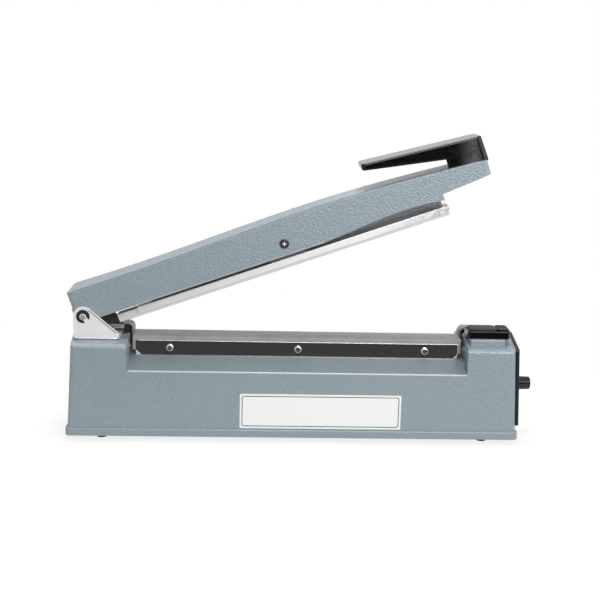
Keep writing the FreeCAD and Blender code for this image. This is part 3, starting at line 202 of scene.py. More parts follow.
class SharedGroups:
    """Effects that several finishes use, each built once as a node group."""

    def __init__(self) -> None:
        """Builds the groups."""
        self.hammer = self._hammer()
        self.scuff = self._scuff()
        self.drawn = self._drawn()
        self.weave = self._weave()
        self.inner = self._inner()

    @staticmethod
    def _start(name: str, inputs: Sequence[tuple], outputs: Sequence[tuple]) -> tuple:
        """Makes an empty group with named sockets.

        Args:
            name: Group name.
            inputs: Name, socket type and default of each input.
            outputs: Name and socket type of each output.

        Returns:
            The group, its graph, its input node and its output node.
        """
        group = bpy.data.node_groups.new(name, "ShaderNodeTree")
        for label, kind, default in inputs:
            socket = group.interface.new_socket(name=label, in_out="INPUT", socket_type=kind)
            if default is not None:
                socket.default_value = default
        for label, kind in outputs:
            group.interface.new_socket(name=label, in_out="OUTPUT", socket_type=kind)
        graph = Graph(group)
        return group, graph, graph.add("NodeGroupInput"), graph.add("NodeGroupOutput")

    def _hammer(self) -> bpy.types.NodeTree:
        """Hammertone: smooth dimples from soft cells, broken up by noise.

        Returns:
            The group, with Height and Tint from 0 to 1.
        """
        group, graph, inside, out = self._start(
            "hammertone", [("Vector", "NodeSocketVector", None), ("Scale", "NodeSocketFloat", 400.0)],
            [("Height", "NodeSocketFloat"), ("Tint", "NodeSocketFloat")])
        vector, scale = inside.outputs["Vector"], inside.outputs["Scale"]
        warp = graph.add("ShaderNodeTexNoise", Vector=vector, Scale=graph.maths("MULTIPLY", scale, 0.55),
                         Detail=2.0)
        shift = graph.add("ShaderNodeVectorMath", {"operation": "SCALE"}, Scale=0.0022)
        graph.feed(shift.inputs[0], warp.outputs["Color"])
        moved = graph.add("ShaderNodeVectorMath", {"operation": "ADD"})
        graph.feed(moved.inputs[0], vector)
        graph.feed(moved.inputs[1], shift.outputs["Vector"])
        cells = graph.add("ShaderNodeTexVoronoi", {"feature": "SMOOTH_F1"}, Vector=moved.outputs["Vector"],
                          Scale=scale, Smoothness=0.6)
        grain = graph.add("ShaderNodeTexNoise", Vector=vector, Scale=graph.maths("MULTIPLY", scale, 2.1),
                          Detail=3.0)
        height = graph.maths("ADD", graph.maths("MULTIPLY", cells.outputs["Distance"], 0.8),
                             graph.maths("MULTIPLY", grain.outputs["Fac"], 0.35))
        clouds = graph.add("ShaderNodeTexNoise", Vector=vector, Scale=graph.maths("MULTIPLY", scale, 0.9),
                           Detail=4.0, Roughness=0.7)
        graph.feed(out.inputs["Height"], height)
        graph.feed(out.inputs["Tint"], graph.spread(clouds.outputs["Fac"], -0.6, 1.6))
        return group

    def _scuff(self) -> bpy.types.NodeTree:
        """Handling marks: broad smears with fine specks in them.

        Returns:
            The group, with Mask from 0 to 1.
        """
        group, graph, inside, out = self._start(
            "scuff", [("Vector", "NodeSocketVector", None), ("Scale", "NodeSocketFloat", 60.0),
                      ("Amount", "NodeSocketFloat", 0.5)],
            [("Mask", "NodeSocketFloat")])
        broad = graph.add("ShaderNodeTexNoise", Vector=inside.outputs["Vector"],
                          Scale=inside.outputs["Scale"], Detail=5.0, Roughness=0.65)
        fine = graph.add("ShaderNodeTexNoise", Vector=inside.outputs["Vector"],
                         Scale=graph.maths("MULTIPLY", inside.outputs["Scale"], 9.0), Detail=2.0)
        both = graph.maths("MULTIPLY", graph.spread(broad.outputs["Fac"], -0.7, 1.7),
                           graph.spread(fine.outputs["Fac"], 0.2, 1.4))
        graph.feed(out.inputs["Mask"], graph.maths("MULTIPLY", both, inside.outputs["Amount"]))
        return group

    def _drawn(self) -> bpy.types.NodeTree:
        """Drawing and brushing lines: noise stretched along one axis.

        Returns:
            The group, with Lines from 0 to 1.
        """
        group, graph, inside, out = self._start(
            "drawn_lines",
            [("Vector", "NodeSocketVector", None), ("Stretch", "NodeSocketVector", (4.0, 700.0, 700.0))],
            [("Lines", "NodeSocketFloat")])
        stretched = graph.add("ShaderNodeVectorMath", {"operation": "MULTIPLY"})
        graph.feed(stretched.inputs[0], inside.outputs["Vector"])
        graph.feed(stretched.inputs[1], inside.outputs["Stretch"])
        noise = graph.add("ShaderNodeTexNoise", Vector=stretched.outputs["Vector"], Scale=1.0, Detail=4.0,
                          Roughness=0.6)
        graph.feed(out.inputs["Lines"], noise.outputs["Fac"])
        return group

    def _inner(self) -> bpy.types.NodeTree:
        """Inner faces of a channel that lies along x: 1 where y times the normal's y is well below
        zero, or where the normal points steeply down.

        Returns:
            The group, with Mask 0 or 1.
        """
        group, graph, inside, out = self._start(
            "inner_faces", [("Vector", "NodeSocketVector", None), ("Normal", "NodeSocketVector", None)],
            [("Mask", "NodeSocketFloat")])
        spot = graph.add("ShaderNodeSeparateXYZ", Vector=inside.outputs["Vector"])
        normal = graph.add("ShaderNodeSeparateXYZ", Vector=inside.outputs["Normal"])
        against = graph.maths("MULTIPLY", graph.maths("SIGN", spot.outputs["Y"]), normal.outputs["Y"])
        inward = graph.maths("LESS_THAN", against, -0.4)
        clear = graph.maths("GREATER_THAN", graph.maths("ABSOLUTE", spot.outputs["Y"]), 0.004)
        down = graph.maths("LESS_THAN", normal.outputs["Z"], -0.6)
        graph.feed(out.inputs["Mask"], graph.maths("MAXIMUM", graph.maths("MULTIPLY", inward, clear), down))
        return group

    def _weave(self) -> bpy.types.NodeTree:
        """Plain weave: the larger of two crossing rows of rounded threads.

        Returns:
            The group, with Height from 0 to 1.
        """
        group, graph, inside, out = self._start(
            "weave", [("Vector", "NodeSocketVector", None), ("Pitch", "NodeSocketFloat", 0.0006)],
            [("Height", "NodeSocketFloat")])
        parts = graph.add("ShaderNodeSeparateXYZ", Vector=inside.outputs["Vector"])
        turns = graph.maths("DIVIDE", math.pi, inside.outputs["Pitch"])
        rows = []
        for axis in ("X", "Y"):
            angle = graph.maths("MULTIPLY", parts.outputs[axis], turns)
            rows.append(graph.maths("ABSOLUTE", graph.maths("SINE", angle)))
        graph.feed(out.inputs["Height"], graph.maths("MAXIMUM", rows[0], rows[1]))
        return group


def inner_faces(graph: Graph, groups: SharedGroups) -> bpy.types.NodeSocket:
    """Mask of the faces that look into a hollow piece, which the finishes paint in shade.

    Args:
        graph: The material's graph.
        groups: The shared effects.

    Returns:
        The mask's socket.
    """
    places = graph.add("ShaderNodeTexCoord")
    inner = place_group(graph, groups.inner, Vector=places.outputs["Object"], Normal=places.outputs["Normal"])
    return inner.outputs["Mask"]


def surface_vector(graph: Graph) -> bpy.types.NodeSocket:
    """Object coordinates of the piece.

    Args:
        graph: The material's graph.

    Returns:
        The coordinate socket.
    """
    return graph.add("ShaderNodeTexCoord").outputs["Object"]


def place_group(graph: Graph, group: bpy.types.NodeTree, **sockets: object) -> bpy.types.Node:
    """Puts a shared group in a material.

    Args:
        graph: The material's graph.
        group: The group.
        sockets: Its input values.

    Returns:
        The group node.
    """
    node = graph.add("ShaderNodeGroup", {"node_tree": group})
    for name, value in sockets.items():
        graph.feed(node.inputs[name], value)
    return node


@dataclass(frozen=True)
class Finish:
    """Base of every finish: a named material with a Principled shader."""

    name: str
    colour: tuple
    roughness: float = 0.5
    metallic: float = 0.0
    specular: float = 0.5
    coat: float = 0.0
    coat_roughness: float = 0.05

    def build(self, groups: SharedGroups) -> bpy.types.Material:
        """Makes the material.

        Args:
            groups: The shared effects.

        Returns:
            The material.
        """
        material = bpy.data.materials.new(self.name)
        material.use_nodes = True
        graph = Graph(material.node_tree)
        shader = graph.add("ShaderNodeBsdfPrincipled")
        shader.inputs["Base Color"].default_value = (*self.colour, 1.0)
        shader.inputs["Roughness"].default_value = self.roughness
        shader.inputs["Metallic"].default_value = self.metallic
        shader.inputs["Specular IOR Level"].default_value = self.specular
        shader.inputs["Coat Weight"].default_value = self.coat
        shader.inputs["Coat Roughness"].default_value = self.coat_roughness
        out = graph.add("ShaderNodeOutputMaterial")
        graph.tree.links.new(shader.outputs["BSDF"], out.inputs["Surface"])
        self.dress(graph, shader, groups)
        material.diffuse_color = (*self.colour, 1.0)
        return material

    def dress(self, graph: Graph, shader: bpy.types.Node, groups: SharedGroups) -> None:
        """Adds what varies over the surface: here a little uneven gloss.

        Args:
            graph: The material's graph.
            shader: Its Principled shader.
            groups: The shared effects.
        """
        scuff = place_group(graph, groups.scuff, Vector=surface_vector(graph), Scale=70.0, Amount=1.0)
        rough = graph.spread(scuff.outputs["Mask"], max(self.roughness - 0.04, 0.0), self.roughness + 0.10)
        graph.feed(shader.inputs["Roughness"], rough)

    def bump(self, graph: Graph, shader: bpy.types.Node, height: object, strength: float,
             distance: float) -> None:
        """Raises the surface by a height.

        Args:
            graph: The material's graph.
            shader: Its Principled shader.
            height: Height socket.
            strength: Strength of the bump.
            distance: Height in metres at 1.
        """
        node = graph.add("ShaderNodeBump", Strength=strength, Distance=distance, Height=height)
        graph.feed(shader.inputs["Normal"], node.outputs["Normal"])


@dataclass(frozen=True)
class HammerEnamel(Finish):
    """Grey hammertone enamel on castings, with painted shade on the faces that look inwards and on the sloped
    bag rests.
    """

    dark: tuple = (0.2, 0.2, 0.2)
    # painted shade on the faces that look inwards, standing for the shade inside the arm and base
    inside: tuple = (0.20, 0.21, 0.22)
    # painted shade on the sloped bag rests, standing for the raised arm's shadow
    rest: tuple = (0.165, 0.205, 0.225)
    rest_share: float = 0.85
    rest_upright: float = 0.92
    rest_upright_band: float = 0.045
    rest_height: float = 72.5 * MM
    rest_height_band: float = 5.2 * MM
    cell_scale: float = 560.0
    gloss_swing: float = 0.06
    dimple_depth: float = 0.50 * MM

    def rest_shade_mask(self, graph: Graph) -> bpy.types.NodeSocket:
        """The sloped bag rests, which get painted shade for the raised arm's shadow: 1 where the normal leans
        between about 15 and 30 degrees off upright and the place is between their foot and their top.

        Args:
            graph: The material's graph.

        Returns:
            The mask's socket.
        """
        places = graph.add("ShaderNodeTexCoord")
        spot = graph.add("ShaderNodeSeparateXYZ", Vector=places.outputs["Object"])
        normal = graph.add("ShaderNodeSeparateXYZ", Vector=places.outputs["Normal"])
        lean = graph.near(normal.outputs["Z"], self.rest_upright, self.rest_upright_band)
        level = graph.near(spot.outputs["Z"], self.rest_height, self.rest_height_band)
        return graph.maths("MULTIPLY", lean, level)

    def dress(self, graph: Graph, shader: bpy.types.Node, groups: SharedGroups) -> None:
        """Adds dimples, cloudy tint, uneven gloss and painted shade on the inward faces and the bag rests.

        Args:
            graph: The material's graph.
            shader: Its Principled shader.
            groups: The shared effects.
        """
        vector = surface_vector(graph)
        hammer = place_group(graph, groups.hammer, Vector=vector, Scale=self.cell_scale)
        tone = graph.blend_colour(hammer.outputs["Tint"], (*self.dark, 1.0), (*self.colour, 1.0))
        # painted shade on the inward faces
        tone = graph.blend_colour(inner_faces(graph, groups), tone, (*self.inside, 1.0))
        # painted shade on the sloped bag rests
        rest = graph.maths("MULTIPLY", self.rest_shade_mask(graph), self.rest_share)
        graph.feed(shader.inputs["Base Color"], graph.blend_colour(rest, tone, (*self.rest, 1.0)))
        rough = graph.spread(hammer.outputs["Tint"], self.roughness + self.gloss_swing,
                             self.roughness - self.gloss_swing)
        graph.feed(shader.inputs["Roughness"], rough)
        self.bump(graph, shader, hammer.outputs["Height"], 0.7, self.dimple_depth)


@dataclass(frozen=True)
class DrawnMetal(Finish):
    """Plated, drawn or brushed metal with lines along one axis."""

    stretch: tuple = (6.0, 500.0, 500.0)
    line_depth: float = 0.02 * MM
    line_gloss: float = 0.12
    # painted shade for the inward faces, if given
    inside: Optional[tuple] = None

    def dress(self, graph: Graph, shader: bpy.types.Node, groups: SharedGroups) -> None:
        """Adds fine lines to the gloss and the surface, and painted shade on the inward faces if an inside
        colour is given.

        Args:
            graph: The material's graph.
            shader: Its Principled shader.
            groups: The shared effects.
        """
        vector = surface_vector(graph)
        drawn = place_group(graph, groups.drawn, Vector=vector, Stretch=self.stretch)
        scuff = place_group(graph, groups.scuff, Vector=vector, Scale=45.0, Amount=0.6)
        mixed = graph.maths("ADD", graph.maths("MULTIPLY", drawn.outputs["Lines"], 0.7),
                            graph.maths("MULTIPLY", scuff.outputs["Mask"], 0.5))
        rough = graph.spread(mixed, max(self.roughness - self.line_gloss / 2, 0.02),
                             self.roughness + self.line_gloss)
        graph.feed(shader.inputs["Roughness"], rough)
        # painted shade on the inward faces
        if self.inside is not None:
            tone = graph.blend_colour(inner_faces(graph, groups), (*self.colour, 1.0), (*self.inside, 1.0))
            graph.feed(shader.inputs["Base Color"], tone)
        self.bump(graph, shader, drawn.outputs["Lines"], 0.4, self.line_depth)


@dataclass(frozen=True)
class FleckedBar(DrawnMetal):
    """Bar metal that is mottled more and more towards its free end."""

    fleck_tone: tuple = (0.15, 0.15, 0.15)
    start_x: float = 60.0 * MM
    end_x: float = 140.0 * MM
    fleck_scale: float = 620.0

    def dress(self, graph: Graph, shader: bpy.types.Node, groups: SharedGroups) -> None:
        """Adds mottling that grows along x to the drawn metal.

        Args:
            graph: The material's graph.
            shader: Its Principled shader.
            groups: The shared effects.
        """
        super().dress(graph, shader, groups)
        vector = surface_vector(graph)
        spot = graph.add("ShaderNodeSeparateXYZ", Vector=vector)
        along = graph.add("ShaderNodeMapRange", {"clamp": True}, Value=spot.outputs["X"],
                          From_Min=self.start_x, From_Max=self.end_x, To_Min=0.0, To_Max=1.0)
        flecks = graph.add("ShaderNodeTexNoise", Vector=vector, Scale=self.fleck_scale, Detail=4.0,
                           Roughness=0.75)
        mottle = graph.spread(flecks.outputs["Fac"], -1.1, 2.1)
        tone = graph.blend_colour(graph.maths("MULTIPLY", mottle, along.outputs["Result"]),
                                  (*self.colour, 1.0), (*self.fleck_tone, 1.0))
        graph.feed(shader.inputs["Base Color"], tone)


@dataclass(frozen=True)
class WovenCloth(Finish):
    """Coated glass cloth, browned a little where the ribbon heats it."""

    scorched: tuple = (0.3, 0.25, 0.2)
    thread_pitch: float = 0.7 * MM
    thread_height: float = 0.08 * MM

    def dress(self, graph: Graph, shader: bpy.types.Node, groups: SharedGroups) -> None:
        """Adds the weave and stains.

        Args:
            graph: The material's graph.
            shader: Its Principled shader.
            groups: The shared effects.
        """
        vector = surface_vector(graph)
        weave = place_group(graph, groups.weave, Vector=vector, Pitch=self.thread_pitch)
        stain = place_group(graph, groups.scuff, Vector=vector, Scale=55.0, Amount=0.7)
        tone = graph.blend_colour(stain.outputs["Mask"], (*self.colour, 1.0), (*self.scorched, 1.0))
        graph.feed(shader.inputs["Base Color"], tone)
        rough = graph.spread(stain.outputs["Mask"], self.roughness, self.roughness + 0.15)
        graph.feed(shader.inputs["Roughness"], rough)
        self.bump(graph, shader, weave.outputs["Height"], 0.35, self.thread_height)


@dataclass(frozen=True)
class MouldedPlastic(Finish):
    """Moulded plastic or rubber with a fine grain, and painted shade in its hollow and on its undersides if
    it has a hollow colour.
    """

    # painted shade for the back inner faces and the undersides, if given
    hollow: Optional[tuple] = None
    hollow_y: float = 9.0 * MM
    grain_scale: float = 1800.0
    grain_depth: float = 0.03 * MM

    def dress(self, graph: Graph, shader: bpy.types.Node, groups: SharedGroups) -> None:
        """Adds grain, finger marks and, if a hollow colour is given, painted shade.

        Args:
            graph: The material's graph.
            shader: Its Principled shader.
            groups: The shared effects.
        """
        vector = surface_vector(graph)
        grain = graph.add("ShaderNodeTexNoise", Vector=vector, Scale=self.grain_scale, Detail=2.0)
        scuff = place_group(graph, groups.scuff, Vector=vector, Scale=40.0, Amount=1.0)
        rough = graph.spread(scuff.outputs["Mask"], max(self.roughness - 0.03, 0.02), self.roughness + 0.12)
        graph.feed(shader.inputs["Roughness"], rough)
        self.bump(graph, shader, grain.outputs["Fac"], 0.3, self.grain_depth)
        # painted shade: back faces inside the hollow and faces that point down
        if self.hollow is not None:
            places = graph.add("ShaderNodeTexCoord")
            spot = graph.add("ShaderNodeSeparateXYZ", Vector=places.outputs["Object"])
            normal = graph.add("ShaderNodeSeparateXYZ", Vector=places.outputs["Normal"])
            back = graph.maths("MULTIPLY", graph.maths("GREATER_THAN", spot.outputs["Y"], self.hollow_y),
                               graph.maths("LESS_THAN", normal.outputs["Y"], -0.4))
            under = graph.maths("LESS_THAN", normal.outputs["Z"], -0.2)
            tone = graph.blend_colour(graph.maths("MAXIMUM", back, under), (*self.colour, 1.0),
                                      (*self.hollow, 1.0))
            graph.feed(shader.inputs["Base Color"], tone)


class Slot(Enum):
    """The record's material slots."""

    ENAMEL = "enamel"
    ZINC = "zinc"
    STEEL = "steel"
    POLISHED = "polished"
    BLACK_SCREW = "black_screw"
    BAR_METAL = "bar_metal"
    BRASS = "brass"
    CLOTH = "cloth"
    SILICONE = "silicone"
    BLACK_PLASTIC = "black_plastic"
    BLACK_PANEL = "black_panel"
    GREY_PLASTIC = "grey_plastic"
    FOOT_RUBBER = "foot_rubber"
    LABEL = "label"
    LAMP = "lamp"
    BOARD = "board"
    COPPER = "copper"
    CORE = "core"


FINISHES: dict[Slot, Finish] = {
    Slot.ENAMEL: HammerEnamel("hammertone_enamel", (0.298, 0.362, 0.396), 0.30, 0.10, 0.45,
                              dark=(0.222, 0.275, 0.304)),
    # zinc: its inside colour is painted shade on the bracket cheeks' inward faces
    Slot.ZINC: DrawnMetal("zinc_plate", (0.84, 0.84, 0.85), 0.34, 0.35, stretch=(620.0, 620.0, 620.0),
                          line_depth=0.30 * MM, inside=(0.06, 0.055, 0.05)),
    Slot.STEEL: DrawnMetal("plain_steel", (0.66, 0.66, 0.67), 0.14, 1.0, line_gloss=0.06),
    Slot.POLISHED: DrawnMetal("polished_strip", (0.86, 0.86, 0.87), 0.05, 1.0, line_gloss=0.04,
                              line_depth=0.004 * MM),
    Slot.BLACK_SCREW: Finish("black_oxide", (0.02, 0.02, 0.02), 0.38, 0.2, 0.3),
    Slot.BAR_METAL: FleckedBar("bar_aluminium", (0.84, 0.84, 0.85), 0.30, 0.75),
    Slot.BRASS: Finish("turned_brass", (0.72, 0.52, 0.24), 0.30, 1.0),
    Slot.CLOTH: WovenCloth("coated_cloth", (0.345, 0.333, 0.322), 0.46, specular=0.35,
                           scorched=(0.24, 0.215, 0.19)),
    Slot.SILICONE: MouldedPlastic("silicone", (0.66, 0.65, 0.66), 0.55, specular=0.35),
    Slot.BLACK_PLASTIC: MouldedPlastic("gloss_black", (0.004, 0.004, 0.005), 0.05, specular=0.30,
                                       grain_depth=0.004 * MM),
    Slot.BLACK_PANEL: MouldedPlastic("satin_black", (0.007, 0.007, 0.008), 0.34, specular=0.30,
                                     grain_depth=0.06 * MM),
    # grey moulding: its hollow colour is painted shade
    Slot.GREY_PLASTIC: MouldedPlastic("grey_moulding", (0.27, 0.27, 0.27), 0.45,
                                      hollow=(0.012, 0.012, 0.012)),
    Slot.FOOT_RUBBER: MouldedPlastic("foot_rubber", (0.015, 0.015, 0.015), 0.75, specular=0.3),
    Slot.LABEL: Finish("label_stock", (0.86, 0.86, 0.86), 0.35),
    Slot.LAMP: Finish("lamp_lens", (0.010, 0.002, 0.002), 0.10, specular=0.4),
    Slot.BOARD: Finish("board_green", (0.05, 0.16, 0.07), 0.45),
    Slot.COPPER: DrawnMetal("copper_winding", (0.62, 0.28, 0.12), 0.30, 0.9, stretch=(8.0, 8.0, 1500.0)),
    Slot.CORE: DrawnMetal("core_laminations", (0.16, 0.16, 0.17), 0.45, 0.8, stretch=(5.0, 1800.0, 5.0)),
}


class Wardrobe:
    """Holds the built materials and dresses pieces with them."""

    def __init__(self) -> None:
        """Builds every finish."""
        groups = SharedGroups()
        self.materials = {slot: finish.build(groups) for slot, finish in FINISHES.items()}
        self.ink = Finish("label_ink", (0.02, 0.02, 0.02), 0.45).build(groups)
        # painted shade: the bar saddle's steel is darkened because it lies in the arm's shadow
        self.saddle_shade = DrawnMetal("saddle_painted_shade", (0.10, 0.10, 0.105), 0.40, 0.6).build(groups)
        self.blackened = Finish("blackened_screw", (0.03, 0.03, 0.032), 0.25, 0.5).build(groups)
        # painted shade in screw recesses, in the shadow lines inside the bracket cheeks and on the ribbon's
        # sleeve
        self.painted_recess_shade = Finish("painted_recess_shade", (0.012, 0.012, 0.013), 0.6).build(groups)
        # painted highlight on the edge at the foot of the bag rests
        self.rest_edge_highlight = Finish("rest_edge_highlight", (0.52, 0.56, 0.58), 0.22, coat=0.3).build(groups)
        # painted highlight on the arm's lower lips
        self.lip_highlight = Finish("lip_highlight", (0.40, 0.44, 0.46), 0.30).build(groups)
        # painted shade in the arm's upper creases
        self.crease_shade = Finish("crease_shade", (0.15, 0.18, 0.20), 0.40).build(groups)
        # painted highlight on strip edges, bracket feet and the rocking screw's cross
        self.edge_highlight = Finish("edge_highlight", (0.90, 0.90, 0.90), 0.25, 0.5).build(groups)

    def dress_nodes(self) -> None:
        """Gives every CAD node the material of its slot in the record."""
        for entry in frame["record"]["subparts"]:
            node = frame["nodes"][entry["node"]]
            self.put(node, self.materials[Slot(entry["material_slot"])])
        # painted shade on the bar saddle
        self.put(frame["nodes"]["bar_saddle"], self.saddle_shade)
        self.put(frame["nodes"]["rocking_screw"], self.blackened)

    @staticmethod
    def put(piece: bpy.types.Object, material: bpy.types.Material) -> None:
        """Gives a piece one material.

        Args:
            piece: The object.
            material: Its material.
        """
        piece.data.materials.clear()
        piece.data.materials.append(material)


def grid_piece(name: str, points: np.ndarray, wrap_u: bool = False, wrap_v: bool = False,
               smooth: bool = True) -> bpy.types.Object:
    """Turns a grid of points into a mesh of quads.

    Args:
        name: Name of the piece.
        points: Array of shape (rows, columns, 3) in metres.
        wrap_u: Join the last row to the first.
        wrap_v: Join the last column to the first.
        smooth: Shade smooth.

    Returns:
        The new object, linked to the scene.
    """
    rows, columns = points.shape[:2]
    index = np.arange(rows * columns).reshape(rows, columns)
    if wrap_u:
        index = np.vstack([index, index[:1]])
    if wrap_v:
        index = np.hstack([index, index[:, :1]])
    quads = np.stack([index[:-1, :-1], index[1:, :-1], index[1:, 1:], index[:-1, 1:]], axis=-1)
    return mesh_piece(name, points.reshape(-1, 3), quads.reshape(-1, 4), smooth)


def mesh_piece(name: str, points: np.ndarray, faces: Iterable, smooth: bool = True) -> bpy.types.Object:
    """Makes an object from points and faces.

    Args:
        name: Name of the piece.
        points: Points in metres.
        faces: Rows of point numbers.
        smooth: Shade smooth.

    Returns:
        The new object, linked to the scene.
    """
    mesh = bpy.data.meshes.new(name)
    mesh.from_pydata(np.asarray(points, dtype=float).tolist(), [], [list(map(int, f)) for f in faces])
    mesh.validate()
    mesh.shade_smooth() if smooth else mesh.shade_flat()
    piece = bpy.data.objects.new(name, mesh)
    bpy.context.scene.collection.objects.link(piece)
    return piece


def tube_points(path: np.ndarray, radius: float, sides: int) -> np.ndarray:
    """Points of a round wire along a path: at each step the path's point plus a circle in the plane
    across its direction, carried along without twist.

    Args:
        path: Array of shape (steps, 3) in metres.
        radius: Wire radius in metres.
        sides: Points round the wire.

    Returns:
        Array of shape (steps, sides, 3).
    """
    tangent = np.gradient(path, axis=0)
    tangent /= np.linalg.norm(tangent, axis=1, keepdims=True)
    normal = np.zeros_like(path)
    first = np.cross(tangent[0], (0.3, 0.5, 0.8))
    normal[0] = first / np.linalg.norm(first)
    for step in range(1, len(path)):
        carried = normal[step - 1] - tangent[step] * np.dot(normal[step - 1], tangent[step])
        normal[step] = carried / np.linalg.norm(carried)
    side = np.cross(tangent, normal)
    turn = np.linspace(0, 2 * math.pi, sides, endpoint=False)
    circle = (normal[:, None, :] * np.cos(turn)[None, :, None]
              + side[:, None, :] * np.sin(turn)[None, :, None])
    return path[:, None, :] + circle * radius


def wire_piece(name: str, path: np.ndarray, radius: float, sides: int = 14) -> bpy.types.Object:
    """Round wire along a path with flat closed ends.

    Args:
        name: Name of the piece.
        path: Array of shape (steps, 3) in metres.
        radius: Wire radius in metres.
        sides: Points round the wire.

    Returns:
        The new object.
    """
    ring = tube_points(path, radius, sides)
    steps = len(path)
    points = np.vstack([ring.reshape(-1, 3), path[:1], path[-1:]])
    index = np.arange(steps * sides).reshape(steps, sides)
    index = np.hstack([index, index[:, :1]])
    quads = np.stack([index[:-1, :-1], index[:-1, 1:], index[1:, 1:], index[1:, :-1]], axis=-1)
    start, end = steps * sides, steps * sides + 1
    caps = [(start, index[0, k + 1], index[0, k]) for k in range(sides)]
    caps += [(end, index[-1, k], index[-1, k + 1]) for k in range(sides)]
    return mesh_piece(name, points, quads.reshape(-1, 4).tolist() + caps)


def rounded_rectangle(width: float, height: float, corner: float, steps: int = 8) -> np.ndarray:
    """Outline of a rectangle with rounded corners about the origin: four quarter circles joined.

    Args:
        width: Full width.
        height: Full height.
        corner: Corner radius.
        steps: Points in each corner.

    Returns:
        Array of shape (4 * steps, 2), anticlockwise.
    """
    turn = np.linspace(0, math.pi / 2, steps)
    outline = []
    for quarter, (sx, sy) in enumerate(((1, 1), (-1, 1), (-1, -1), (1, -1))):
        angle = turn + quarter * math.pi / 2
        centre = np.array([sx * (width / 2 - corner), sy * (height / 2 - corner)])
        outline.append(centre + corner * np.stack([np.cos(angle), np.sin(angle)], axis=1))
    return np.vstack(outline)


@dataclass
class FrontLabel:
    """The bare label on the front wall with its printed border."""

    wardrobe: Wardrobe
    inset: float = 1.9 * MM
    line: float = 0.75 * MM
    corner: float = 2.0 * MM
    lift: float = 0.03 * MM
    stock: float = 0.4 * MM
    plate: Place = field(default_factory=lambda: Place.of("label_plate"))

    def build(self) -> list[bpy.types.Object]:
        """Makes the border as a thin printed ring on the plate's leaning face: y grows with z by lean.

        Returns:
            The pieces.
        """
        size, middle = self.plate.size, self.plate.middle
        lean = (self.plate.high.y - self.plate.low.y - self.stock) / size.z
        width, height = size.x - 2 * self.inset, size.z - 2 * self.inset
        outer = rounded_rectangle(width, height, self.corner)
        inner = rounded_rectangle(width - 2 * self.line, height - 2 * self.line, self.corner - self.line)
        rings = np.stack([inner, outer])
        points = np.empty((2, len(outer), 3))
        points[..., 0] = middle.x + rings[..., 0]
        points[..., 2] = middle.z + rings[..., 1]
        points[..., 1] = self.plate.low.y - self.lift + (points[..., 2] - self.plate.low.z) * lean
        border = grid_piece("label_border", points, wrap_v=True, smooth=False)
        self.wardrobe.put(border, self.wardrobe.ink)
        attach(border, "base")
        return [border]


